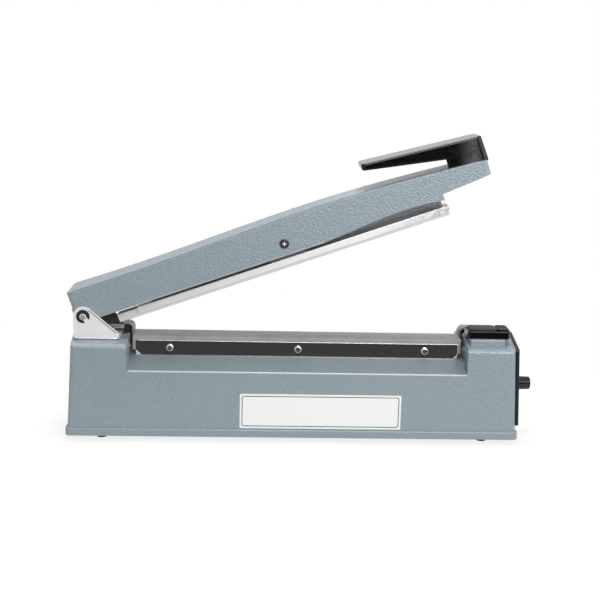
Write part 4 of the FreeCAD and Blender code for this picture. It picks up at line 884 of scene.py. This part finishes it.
@dataclass
class EdgeBeads:
    """Thin beads along edges: painted highlights at the foot of the bag rests, on the arm's lower lip, on
    the cut edges of the clamp strips and on the bent foot of the hinge bracket's cheeks, painted shade
    along the arm's upper creases and inside the cheeks' slanted edges, and the ribbon's black sleeve."""

    wardrobe: Wardrobe
    strip: Place = field(default_factory=lambda: Place.of("clamp_strip_front"))
    bracket: Place = field(default_factory=lambda: Place.of("hinge_bracket"))
    sides: int = 12
    rest_z: float = 68.0 * MM
    rest_radius: float = 0.8 * MM
    rest_sink: float = 0.55
    rest_gap: float = 0.4 * MM
    strip_radius: float = 0.3 * MM
    strip_sink: float = 0.05 * MM
    strip_start: float = 2.0 * MM
    strip_chamfer: float = 4.0 * MM
    lip_radius: float = 0.6 * MM
    lip_start: float = 48.0 * MM
    lip_end: float = 350.0 * MM
    lip_w: float = -6.4 * MM
    lip_rise: float = 0.45 * MM
    lip_sink: float = 0.35 * MM
    crease_radius: float = 0.35 * MM
    crease_half: tuple = (23.4 * MM, 16.0 * MM)
    crease_inset: float = 0.55 * MM
    crease_window: float = 8.0 * MM
    crease_start: float = 6.0 * MM
    crease_end: float = 9.0 * MM
    pivot: tuple = (-208.343 * MM, 117.0 * MM)
    open_angle: float = math.radians(19.5)
    cheek_round: float = 9.2 * MM
    cheek_nose: float = 5.5 * MM
    rim_radius: float = 0.35 * MM
    rim_inset: float = 1.3 * MM
    rim_gap: float = 2.0 * MM
    rim_sink: float = 0.1 * MM
    foot_radius: float = 0.8 * MM
    foot_sink: float = 0.5 * MM
    foot_gaps: tuple = (1.0 * MM, 1.5 * MM)
    sleeve_radius: float = 2.1 * MM
    sleeve_span: tuple = (0.35 * MM, 2.9 * MM)

    @staticmethod
    def vertices(node: str) -> np.ndarray:
        """Corner points of a CAD node.

        Args:
            node: Name of the node.

        Returns:
            Array of shape (count, 3) in metres.
        """
        mesh = frame["nodes"][node].data
        flat = np.empty(len(mesh.vertices) * 3)
        mesh.vertices.foreach_get("co", flat)
        return flat.reshape(-1, 3)

    @staticmethod
    def run(corners: Sequence[Sequence[float]], step: float = 4.0 * MM) -> np.ndarray:
        """Even points along straight runs between corners.

        Args:
            corners: The corners in metres.
            step: Largest distance between points.

        Returns:
            Array of shape (count, 3).
        """
        places = np.array(corners, dtype=float)
        along = np.concatenate([[0.0], np.cumsum(np.linalg.norm(np.diff(places, axis=0), axis=1))])
        fine = np.unique(np.concatenate([np.arange(0.0, along[-1], step), along]))
        return np.stack([np.interp(fine, along, places[:, k]) for k in range(3)], axis=1)

    def bead(self, name: str, path: np.ndarray, radius: float, material: bpy.types.Material,
             body: str) -> bpy.types.Object:
        """One bead that rides on a body.

        Args:
            name: Name of the piece.
            path: Its middle line in metres.
            radius: Its radius.
            material: Its finish.
            body: The body.

        Returns:
            The piece.
        """
        piece = wire_piece(name, path, radius, self.sides)
        self.wardrobe.put(piece, material)
        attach(piece, body)
        return piece

    def rests(self) -> list[bpy.types.Object]:
        """Beads along the foot of the front and rear bag rests, in a lighter enamel that paints a highlight
        on that edge.

        Returns:
            The pieces.
        """
        points = self.vertices("base_housing")
        near = points[(np.abs(points[:, 2] - self.rest_z) < 0.3 * MM) & (points[:, 1] < -20 * MM)]
        y = near[:, 1].mean() + self.rest_radius * self.rest_sink
        z = self.rest_z - self.rest_radius * self.rest_sink
        x0, x1 = near[:, 0].min() + self.rest_gap, near[:, 0].max() - self.rest_gap
        return [self.bead("bag_rest_edge_" + side, self.run([(x0, sign * y, z), (x1, sign * y, z)]),
                          self.rest_radius, self.wardrobe.rest_edge_highlight, "base")
                for side, sign in (("front", 1.0), ("rear", -1.0))]

    def strips(self) -> list[bpy.types.Object]:
        """Painted highlights on the cut edges along the top, right end and lower corners of the clamp strips.

        Returns:
            The pieces.
        """
        low, high, cut = self.strip.low, self.strip.high, self.strip_chamfer
        pieces = []
        for side, sign in (("front", 1.0), ("rear", -1.0)):
            y = sign * (low.y + self.strip_sink)
            main = [(low.x + self.strip_start, y, high.z), (high.x, y, high.z), (high.x, y, low.z + cut),
                    (high.x - cut, y, low.z)]
            left = [(low.x, y, low.z + cut), (low.x + cut, y, low.z)]
            for part, corners in (("main", main), ("corner", left)):
                pieces.append(self.bead(f"strip_edge_{side}_{part}", self.run(corners, 1.0 * MM),
                                        self.strip_radius, self.wardrobe.edge_highlight, "base"))
        return pieces

    def arm_frame(self) -> tuple:
        """The arm's corner points in its own frame: u runs out from the hinge along the tilted arm and w
        stands across it.

        Returns:
            The points in the CAD frame, their u and their w.
        """
        points = self.vertices("arm_channel")
        cos, sin = math.cos(self.open_angle), math.sin(self.open_angle)
        dx, dz = points[:, 0] - self.pivot[0], points[:, 2] - self.pivot[1]
        return points, dx * cos + dz * sin, dz * cos - dx * sin

    def arm_path(self, u: np.ndarray, y: np.ndarray, w: np.ndarray) -> np.ndarray:
        """Path in the CAD frame: x = pivot x + u cos a - w sin a, z = pivot z + u sin a + w cos a.

        Args:
            u: Distances along the arm.
            y: Distances across the machine.
            w: Heights above the arm's axis.

        Returns:
            Array of shape (count, 3).
        """
        cos, sin = math.cos(self.open_angle), math.sin(self.open_angle)
        return np.stack([self.pivot[0] + u * cos - w * sin, y, self.pivot[1] + u * sin + w * cos], axis=1)

    def lips(self) -> list[bpy.types.Object]:
        """Rolled lips along the arm's lower edges, painted lighter than the arm as a highlight, as far as
        each wall keeps to the lip's height; y follows the arm's own sides.

        Returns:
            The pieces.
        """
        points, along, across = self.arm_frame()
        pieces = []
        for side, sign in (("front", -1.0), ("rear", 1.0)):
            rows = (np.abs(across - self.lip_w) < 0.4 * MM) & (points[:, 1] * sign > 12 * MM)
            order = np.argsort(along[rows])
            reach_u, reach_y = along[rows][order], np.abs(points[rows, 1][order])
            outer = [reach_y[np.abs(reach_u - u) < 1.5 * MM].max() for u in (reach_u[0], reach_u[-1])]
            u = np.linspace(self.lip_start, min(self.lip_end, reach_u[-1]), 60)
            half = np.interp(u, (reach_u[0], reach_u[-1]), outer)
            w = np.full_like(u, self.lip_w + self.lip_rise)
            pieces.append(self.bead("arm_lip_" + side, self.arm_path(u, sign * (half - self.lip_sink), w),
                                    self.lip_radius, self.wardrobe.lip_highlight, "arm"))
        return pieces

    def creases(self) -> list[bpy.types.Object]:
        """Painted shade along the arm's rounded upper edges: w follows the highest points of the arm, and
        y its straight taper, y = half_start + (half_end - half_start) * share of the length.

        Returns:
            The pieces.
        """
        _, along, across = self.arm_frame()
        low_u, high_u, window = along.min(), along.max(), self.crease_window
        picks = set()
        for place in np.arange(low_u + window, high_u - window, window):
            near = np.flatnonzero(np.abs(along - place) < window)
            if near.size:
                picks.add(int(near[np.argmax(across[near])]))
        chosen = np.array(sorted(picks, key=lambda index: along[index]))
        u = np.linspace(low_u + self.crease_start, high_u - self.crease_end, 90)
        w = np.interp(u, along[chosen], across[chosen]) - self.crease_inset
        half = np.interp(u, (low_u, high_u), self.crease_half) - self.crease_inset
        return [self.bead("arm_crease_" + side, self.arm_path(u, sign * half, w), self.crease_radius,
                          self.wardrobe.crease_shade, "arm")
                for side, sign in (("front", -1.0), ("rear", 1.0))]

    def rims(self) -> list[bpy.types.Object]:
        """Painted shadow lines inside the slanted edges of the bracket's cheeks: from the tangent point on
        the round top down to the nose.

        Returns:
            The pieces.
        """
        low, high = self.bracket.low, self.bracket.high
        centre = np.array([low.x + self.cheek_round, high.z - self.cheek_round])
        nose = np.array([high.x, low.z + self.cheek_nose]) - centre
        turn = math.atan2(nose[1], nose[0]) + math.acos(self.cheek_round / float(np.linalg.norm(nose)))
        normal = np.array([math.cos(turn), math.sin(turn)])
        back = np.array([-normal[1], normal[0]])
        top = centre + normal * (self.cheek_round - self.rim_inset)
        end = centre + nose - normal * self.rim_inset + back * self.rim_gap
        y = high.y - self.rim_sink
        return [self.bead("bracket_rim_" + side,
                          self.run([(top[0], sign * y, top[1]), (end[0], sign * y, end[1])]),
                          self.rim_radius, self.wardrobe.painted_recess_shade, "base")
                for side, sign in (("front", -1.0), ("rear", 1.0))]

    def feet(self) -> list[bpy.types.Object]:
        """Beads along the bent foot of the bracket's cheeks, painted bright as the highlight on the bend.

        Returns:
            The pieces.
        """
        low, high = self.bracket.low, self.bracket.high
        x0, x1 = low.x + self.foot_gaps[0], high.x - self.foot_gaps[1]
        y, z = high.y - self.foot_sink, low.z + self.foot_radius
        return [self.bead("bracket_foot_" + side, self.run([(x0, sign * y, z), (x1, sign * y, z)]),
                          self.foot_radius, self.wardrobe.edge_highlight, "base")
                for side, sign in (("front", -1.0), ("rear", 1.0))]

    def sleeve(self) -> bpy.types.Object:
        """Black sleeve on the ribbon's right tail, between the cloth and the terminal post, which also paints
        the shade in that gap.

        Returns:
            The piece.
        """
        edge, z = Place.of("seal_cloth").high.x, Place.of("heating_ribbon").middle.z
        path = self.run([(edge + gap, 0.0, z) for gap in self.sleeve_span], 0.4 * MM)
        return self.bead("ribbon_shade_sleeve", path, self.sleeve_radius, self.wardrobe.painted_recess_shade, "base")

    def build(self) -> list[bpy.types.Object]:
        """Makes every bead.

        Returns:
            The pieces.
        """
        return (self.rests() + self.strips() + self.lips() + self.creases() + self.rims() + self.feet()
                + [self.sleeve()])


@dataclass(frozen=True)
class Head:
    """Middle and outward direction of a screw head's top."""

    spot: tuple
    outward: tuple


@dataclass
class DriveCrosses:
    """The crossed recesses in the heads of the screws that show, in painted shade except on the blackened
    one, whose cross is a painted highlight.
    """

    wardrobe: Wardrobe
    arm_length: float = 1.9 * MM
    arm_width: float = 0.42 * MM
    lift: float = 0.03 * MM
    height: float = 0.25 * MM
    panel_reach: float = 3.0 * MM
    panel_lean: float = 0.049
    panel_sink: float = 0.03 * MM

    def cross(self, head: Head) -> np.ndarray:
        """Points of one cross: the outline of two crossed bars in the plane across the outward
        direction, once at the head's top and once a little below it.

        Args:
            head: The screw head.

        Returns:
            Array of shape (2, 12, 3).
        """
        far, near = self.arm_length, self.arm_width
        quarter = np.array([(far, -near), (far, near), (near, near)])
        turns = [np.linalg.matrix_power(np.array([[0, -1], [1, 0]]), k) for k in range(4)]
        outline = np.vstack([quarter @ turn.T for turn in turns])
        outward = np.array(head.outward, dtype=float)
        first = np.cross(outward, (0.0, 0.0, 1.0) if abs(outward[2]) < 0.9 else (1.0, 0.0, 0.0))
        second = np.cross(outward, first)
        flat = outline[:, :1] * first + outline[:, 1:] * second
        top = np.array(head.spot) + outward * self.lift
        return np.stack([top - outward * self.height + flat, top + flat])

    def piece(self, name: str, heads: Sequence[Head], body: str,
              material: bpy.types.Material) -> bpy.types.Object:
        """Joins the crosses of one group of screws.

        Args:
            name: Name of the piece.
            heads: The group's heads.
            body: Body that they ride on.
            material: Their finish.

        Returns:
            The piece.
        """
        points, faces = [], []
        for head in heads:
            both = self.cross(head)
            start = sum(len(p) for p in points)
            ring = np.arange(12)
            low, high = start + ring, start + 12 + ring
            sides = np.stack([low, np.roll(low, -1), np.roll(high, -1), high], axis=1)
            faces += sides.tolist() + [high.tolist(), low[::-1].tolist()]
            points.append(both.reshape(-1, 3))
        made = mesh_piece(name, np.vstack(points), faces, smooth=False)
        self.wardrobe.put(made, material)
        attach(made, body)
        return made

    def build(self) -> list[bpy.types.Object]:
        """Makes the crosses of the clamp, rocking and panel screws.

        Returns:
            The pieces.
        """
        clamp, rock, panel = (Place.of(n) for n in ("clamp_screws", "rocking_screw", "panel_screws"))
        radius = clamp.size.z / 2
        across = (clamp.low.x + radius, clamp.middle.x, clamp.high.x - radius)
        clamps = [Head((x, y, clamp.middle.z), (0.0, side, 0.0))
                  for side, y in ((-1.0, clamp.low.y), (1.0, clamp.high.y)) for x in across]
        rocks = [Head((rock.middle.x, rock.low.y, rock.middle.z), (0.0, -1.0, 0.0))]
        reach, lean = self.panel_reach, self.panel_lean
        rises = (0.0, panel.size.z - 2 * reach)
        panels = [Head((panel.high.x - lean * rise - self.panel_sink, y, panel.low.z + reach + rise),
                       (1.0, 0.0, lean))
                  for y in (panel.low.y + reach, panel.high.y - reach) for rise in rises]
        # clamp and panel crosses get painted shade; the rocking screw's cross gets a painted highlight
        black, bright = self.wardrobe.painted_recess_shade, self.wardrobe.edge_highlight
        return [self.piece("clamp_screw_crosses", clamps, "base", black),
                self.piece("rocking_screw_cross", rocks, "arm", bright),
                self.piece("panel_screw_crosses", panels, "base", black)]


@dataclass
class Springs:
    """The terminal springs, wound as true helices in place of the plain CAD ones."""

    wardrobe: Wardrobe
    ends: Place = field(default_factory=lambda: Place.of("terminal_springs"))
    wire: float = 0.8 * MM
    turns: int = 9
    steps: int = 40

    def helix(self, radius: float, pitch: float, turns: int) -> np.ndarray:
        """Helix about the third axis: x = r cos t, y = r sin t, z = pitch t / 2 pi.

        Args:
            radius: Mean radius in metres.
            pitch: Rise in one turn in metres.
            turns: Number of turns.

        Returns:
            Array of points.
        """
        t = np.linspace(0, 2 * math.pi * turns, self.steps * turns + 1)
        return np.stack([radius * np.cos(t), radius * np.sin(t), pitch * t / (2 * math.pi)], axis=1)

    def build(self) -> list[bpy.types.Object]:
        """Makes the terminal springs.

        Returns:
            The pieces.
        """
        pieces = []
        low, high = self.ends.low, self.ends.high
        outer = (high.y - low.y) / 2
        height = high.z - low.z - self.wire
        for place, middle_x in (("left", low.x + outer), ("right", high.x - outer)):
            path = self.helix(outer - self.wire / 2, height / self.turns, self.turns)
            path += np.array([middle_x, (low.y + high.y) / 2, low.z + self.wire / 2])
            piece = wire_piece("terminal_spring_" + place, path, self.wire / 2)
            self.wardrobe.put(piece, self.wardrobe.materials[Slot.STEEL])
            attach(piece, "base")
            pieces.append(piece)
        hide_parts("terminal_springs")
        return pieces


@dataclass(frozen=True)
class Card:
    """A flat studio card that only reflections show: its corner plus shares of two edges, in metres.

    Its level is 1 at white, and fade is the share of the first edge over which it brightens from near
    black to its level.
    """

    name: str
    corner: tuple
    across: tuple
    along: tuple
    level: float
    fade: float = 0.0


@dataclass(frozen=True)
class Lamp:
    """A square soft lamp: its place, the point it faces and its side in metres, and its power in watts."""

    name: str
    spot: tuple
    aim: tuple
    size: float
    watts: float


CARDS = (
    Card("strip_card", (-0.8, -0.50, 0.003), (1.6, 0.0, 0.0), (0.0, 0.26, 0.0), 0.045),
    Card("grip_card", (-1.0, -1.55, 0.05), (1.44, 0.0, 0.0), (0.0, 0.0, 0.29), 0.035),
    Card("grip_light", (0.44, -1.55, 0.05), (0.05, 0.0, 0.0), (0.0, 0.0, 0.29), 6.0, 1.0),
    Card("handle_card", (0.0, 0.50, 0.315), (0.34, 0.0, 0.0), (0.0, 0.0, 0.085), 0.95),
    Card("grip_shade", (0.49, -1.55, 0.05), (0.6, 0.0, 0.0), (0.0, 0.0, 0.29), 0.02),
    Card("back_card_low", (-1.5, 1.20, 0.0), (3.0, 0.0, 0.0), (0.0, 0.0, 0.385), 0.80),
    Card("back_card_high", (-1.5, 1.20, 0.385), (3.0, 0.0, 0.0), (0.0, 0.0, 0.42), 0.40),
)

LAMPS = (
    Lamp("lamp_above", (0.0, 0.1, 1.5), (0.0, 0.0, 0.1), 0.5, 15.0),
    Lamp("lamp_right", (1.4, -0.45, 0.5), (0.0, 0.0, 0.12), 0.9, 5.0),
    Lamp("lamp_front", (0.5, -1.9, 0.9), (0.0, 0.0, 0.12), 1.2, 27.0),
    Lamp("lamp_back", (-0.4, 1.6, 1.1), (0.0, 0.0, 0.12), 1.0, 6.0),
)


def seen_rays(graph: Graph) -> bpy.types.NodeSocket:
    """Marks the rays that show a background, straight to the camera or by way of metal or glass.

    Args:
        graph: The graph of the floor or the world.

    Returns:
        A socket that is 1 for such rays.
    """
    rays = graph.add("ShaderNodeLightPath")
    seen = graph.maths("MAXIMUM", rays.outputs["Is Camera Ray"], rays.outputs["Is Glossy Ray"])
    return graph.maths("MAXIMUM", seen, rays.outputs["Is Transmission Ray"])


@dataclass
class Studio:
    """Floor, light and the camera fitted to the photograph."""

    base: Place = field(default_factory=lambda: Place.of("base_housing"))
    camera_offset: tuple = (-40.34 * MM, -970.24 * MM, 352.92 * MM)
    focal_pixels: float = 1032.17
    image_pixels: float = 600.0
    sensor: float = 36.0
    yaw: float = math.radians(2.66)
    pitch: float = math.radians(12.92)
    roll: float = math.radians(1.53)
    floor_reach: float = 12.0
    floor_bounce: float = 0.50
    floor_seen: float = 0.95
    shadow_span: tuple = (0.26, 0.55)
    shadow_share: float = 0.80
    world_light: float = 0.30

    def place_camera(self) -> None:
        """Puts the camera where the photograph was taken from: heading yaw, tipped down by pitch and
        turned about its own axis by roll."""
        flat = math.cos(self.pitch)
        forward = Vector((math.sin(self.yaw) * flat, math.cos(self.yaw) * flat, -math.sin(self.pitch)))
        level = Vector((math.cos(self.yaw), -math.sin(self.yaw), 0.0))
        upright = level.cross(forward)
        right = level * math.cos(self.roll) + upright * math.sin(self.roll)
        up = upright * math.cos(self.roll) - level * math.sin(self.roll)
        data = bpy.data.cameras.new("camera")
        data.sensor_width = self.sensor
        data.lens = self.focal_pixels * self.sensor / self.image_pixels
        data.clip_end = 50.0
        camera = bpy.data.objects.new("camera", data)
        spot = Vector(self.camera_offset) + Vector((self.base.middle.x, 0.0, 0.0))
        turn = Matrix((right, up, -forward)).transposed().to_4x4()
        camera.matrix_world = Matrix.Translation(spot) @ turn
        bpy.context.scene.collection.objects.link(camera)
        bpy.context.scene.camera = camera

    def lay_floor(self) -> None:
        """Makes the pale floor, seen white by the camera but keeping a soft shadow."""
        reach = self.floor_reach
        corners = np.array([(-reach, -reach, 0), (reach, -reach, 0), (reach, reach, 0), (-reach, reach, 0)])
        floor = mesh_piece("floor", corners, [(0, 1, 2, 3)], smooth=False)
        material = bpy.data.materials.new("floor_white")
        material.use_nodes = True
        graph = Graph(material.node_tree)
        seen = seen_rays(graph)
        matte = graph.add("ShaderNodeBsdfDiffuse")
        bounce, shown = (self.floor_bounce,) * 3 + (1.0,), (self.floor_seen,) * 3 + (1.0,)
        graph.feed(matte.inputs["Color"], graph.blend_colour(seen, bounce, shown))
        glow = graph.add("ShaderNodeEmission")
        glow.inputs["Strength"].default_value = 1.0
        mix = graph.add("ShaderNodeMixShader")
        away = graph.add("ShaderNodeVectorMath", {"operation": "LENGTH"})
        graph.feed(away.inputs[0], surface_vector(graph))
        share = graph.add("ShaderNodeMapRange", {"clamp": True, "interpolation_type": "SMOOTHSTEP"},
                          Value=away.outputs["Value"], From_Min=self.shadow_span[0],
                          From_Max=self.shadow_span[1], To_Min=self.shadow_share, To_Max=1.0)
        graph.feed(mix.inputs[0], graph.maths("MULTIPLY", seen, share.outputs["Result"]))
        graph.tree.links.new(matte.outputs[0], mix.inputs[1])
        graph.tree.links.new(glow.outputs[0], mix.inputs[2])
        out = graph.add("ShaderNodeOutputMaterial")
        graph.tree.links.new(mix.outputs[0], out.inputs["Surface"])
        Wardrobe.put(floor, material)

    @staticmethod
    def lay_card(card: Card) -> None:
        """Lays a card that is seen only in reflections.

        Args:
            card: Its place and brightness.
        """
        u, v = np.meshgrid(np.linspace(0, 1, 4), np.linspace(0, 1, 4), indexing="ij")
        points = (np.array(card.corner) + u[..., None] * np.array(card.across)
                  + v[..., None] * np.array(card.along))
        flag = grid_piece(card.name, points)
        material = bpy.data.materials.new(card.name)
        material.use_nodes = True
        graph = Graph(material.node_tree)
        glow = graph.add("ShaderNodeEmission")
        glow.inputs["Color"].default_value = (1.0, 1.0, 1.0, 1.0)
        if card.fade:
            spot = graph.add("ShaderNodeSeparateXYZ", Vector=surface_vector(graph))
            rise = graph.add("ShaderNodeMapRange", {"clamp": True, "interpolation_type": "SMOOTHSTEP"},
                             Value=spot.outputs["X"], From_Min=card.corner[0],
                             From_Max=card.corner[0] + card.across[0] * card.fade, To_Min=0.04,
                             To_Max=card.level)
            graph.feed(glow.inputs["Strength"], rise.outputs["Result"])
        else:
            glow.inputs["Strength"].default_value = card.level
        out = graph.add("ShaderNodeOutputMaterial")
        graph.tree.links.new(glow.outputs[0], out.inputs["Surface"])
        Wardrobe.put(flag, material)
        flag.visible_camera = False
        flag.visible_diffuse = False
        flag.visible_shadow = False
        flag.visible_transmission = False

    @staticmethod
    def add_lamp(lamp: Lamp) -> None:
        """Adds a square soft lamp.

        Args:
            lamp: Its place, size and power.
        """
        data = bpy.data.lights.new(lamp.name, "AREA")
        data.size = lamp.size
        data.energy = lamp.watts
        holder = bpy.data.objects.new(lamp.name, data)
        holder.location = lamp.spot
        holder.rotation_euler = (Vector(lamp.aim) - Vector(lamp.spot)).to_track_quat("-Z", "Y").to_euler()
        bpy.context.scene.collection.objects.link(holder)

    def light(self) -> None:
        """Lights the set: an even white world with soft lamps above, in front and behind."""
        world = bpy.data.worlds.new("studio")
        world.use_nodes = True
        graph = Graph(world.node_tree)
        back = graph.add("ShaderNodeBackground")
        back.inputs["Color"].default_value = (1.0, 1.0, 1.0, 1.0)
        graph.feed(back.inputs["Strength"], graph.spread(seen_rays(graph), self.world_light, 1.0))
        out = graph.add("ShaderNodeOutputWorld")
        graph.tree.links.new(back.outputs[0], out.inputs["Surface"])
        bpy.context.scene.world = world
        for lamp in LAMPS:
            self.add_lamp(lamp)

    def build(self) -> None:
        """Sets up the whole studio."""
        self.place_camera()
        self.lay_floor()
        for card in CARDS:
            self.lay_card(card)
        self.light()
        bpy.context.scene.view_settings.view_transform = "Standard"


def main() -> None:
    """Dresses the frame, builds the added pieces and sets up the studio."""
    wardrobe = Wardrobe()
    wardrobe.dress_nodes()
    for maker in (FrontLabel(wardrobe), EdgeBeads(wardrobe), DriveCrosses(wardrobe), Springs(wardrobe)):
        for piece in maker.build():
            log.info("built %s", piece.name)
    Studio().build()
    write_sizes()


if __name__ == "__main__":
    main()
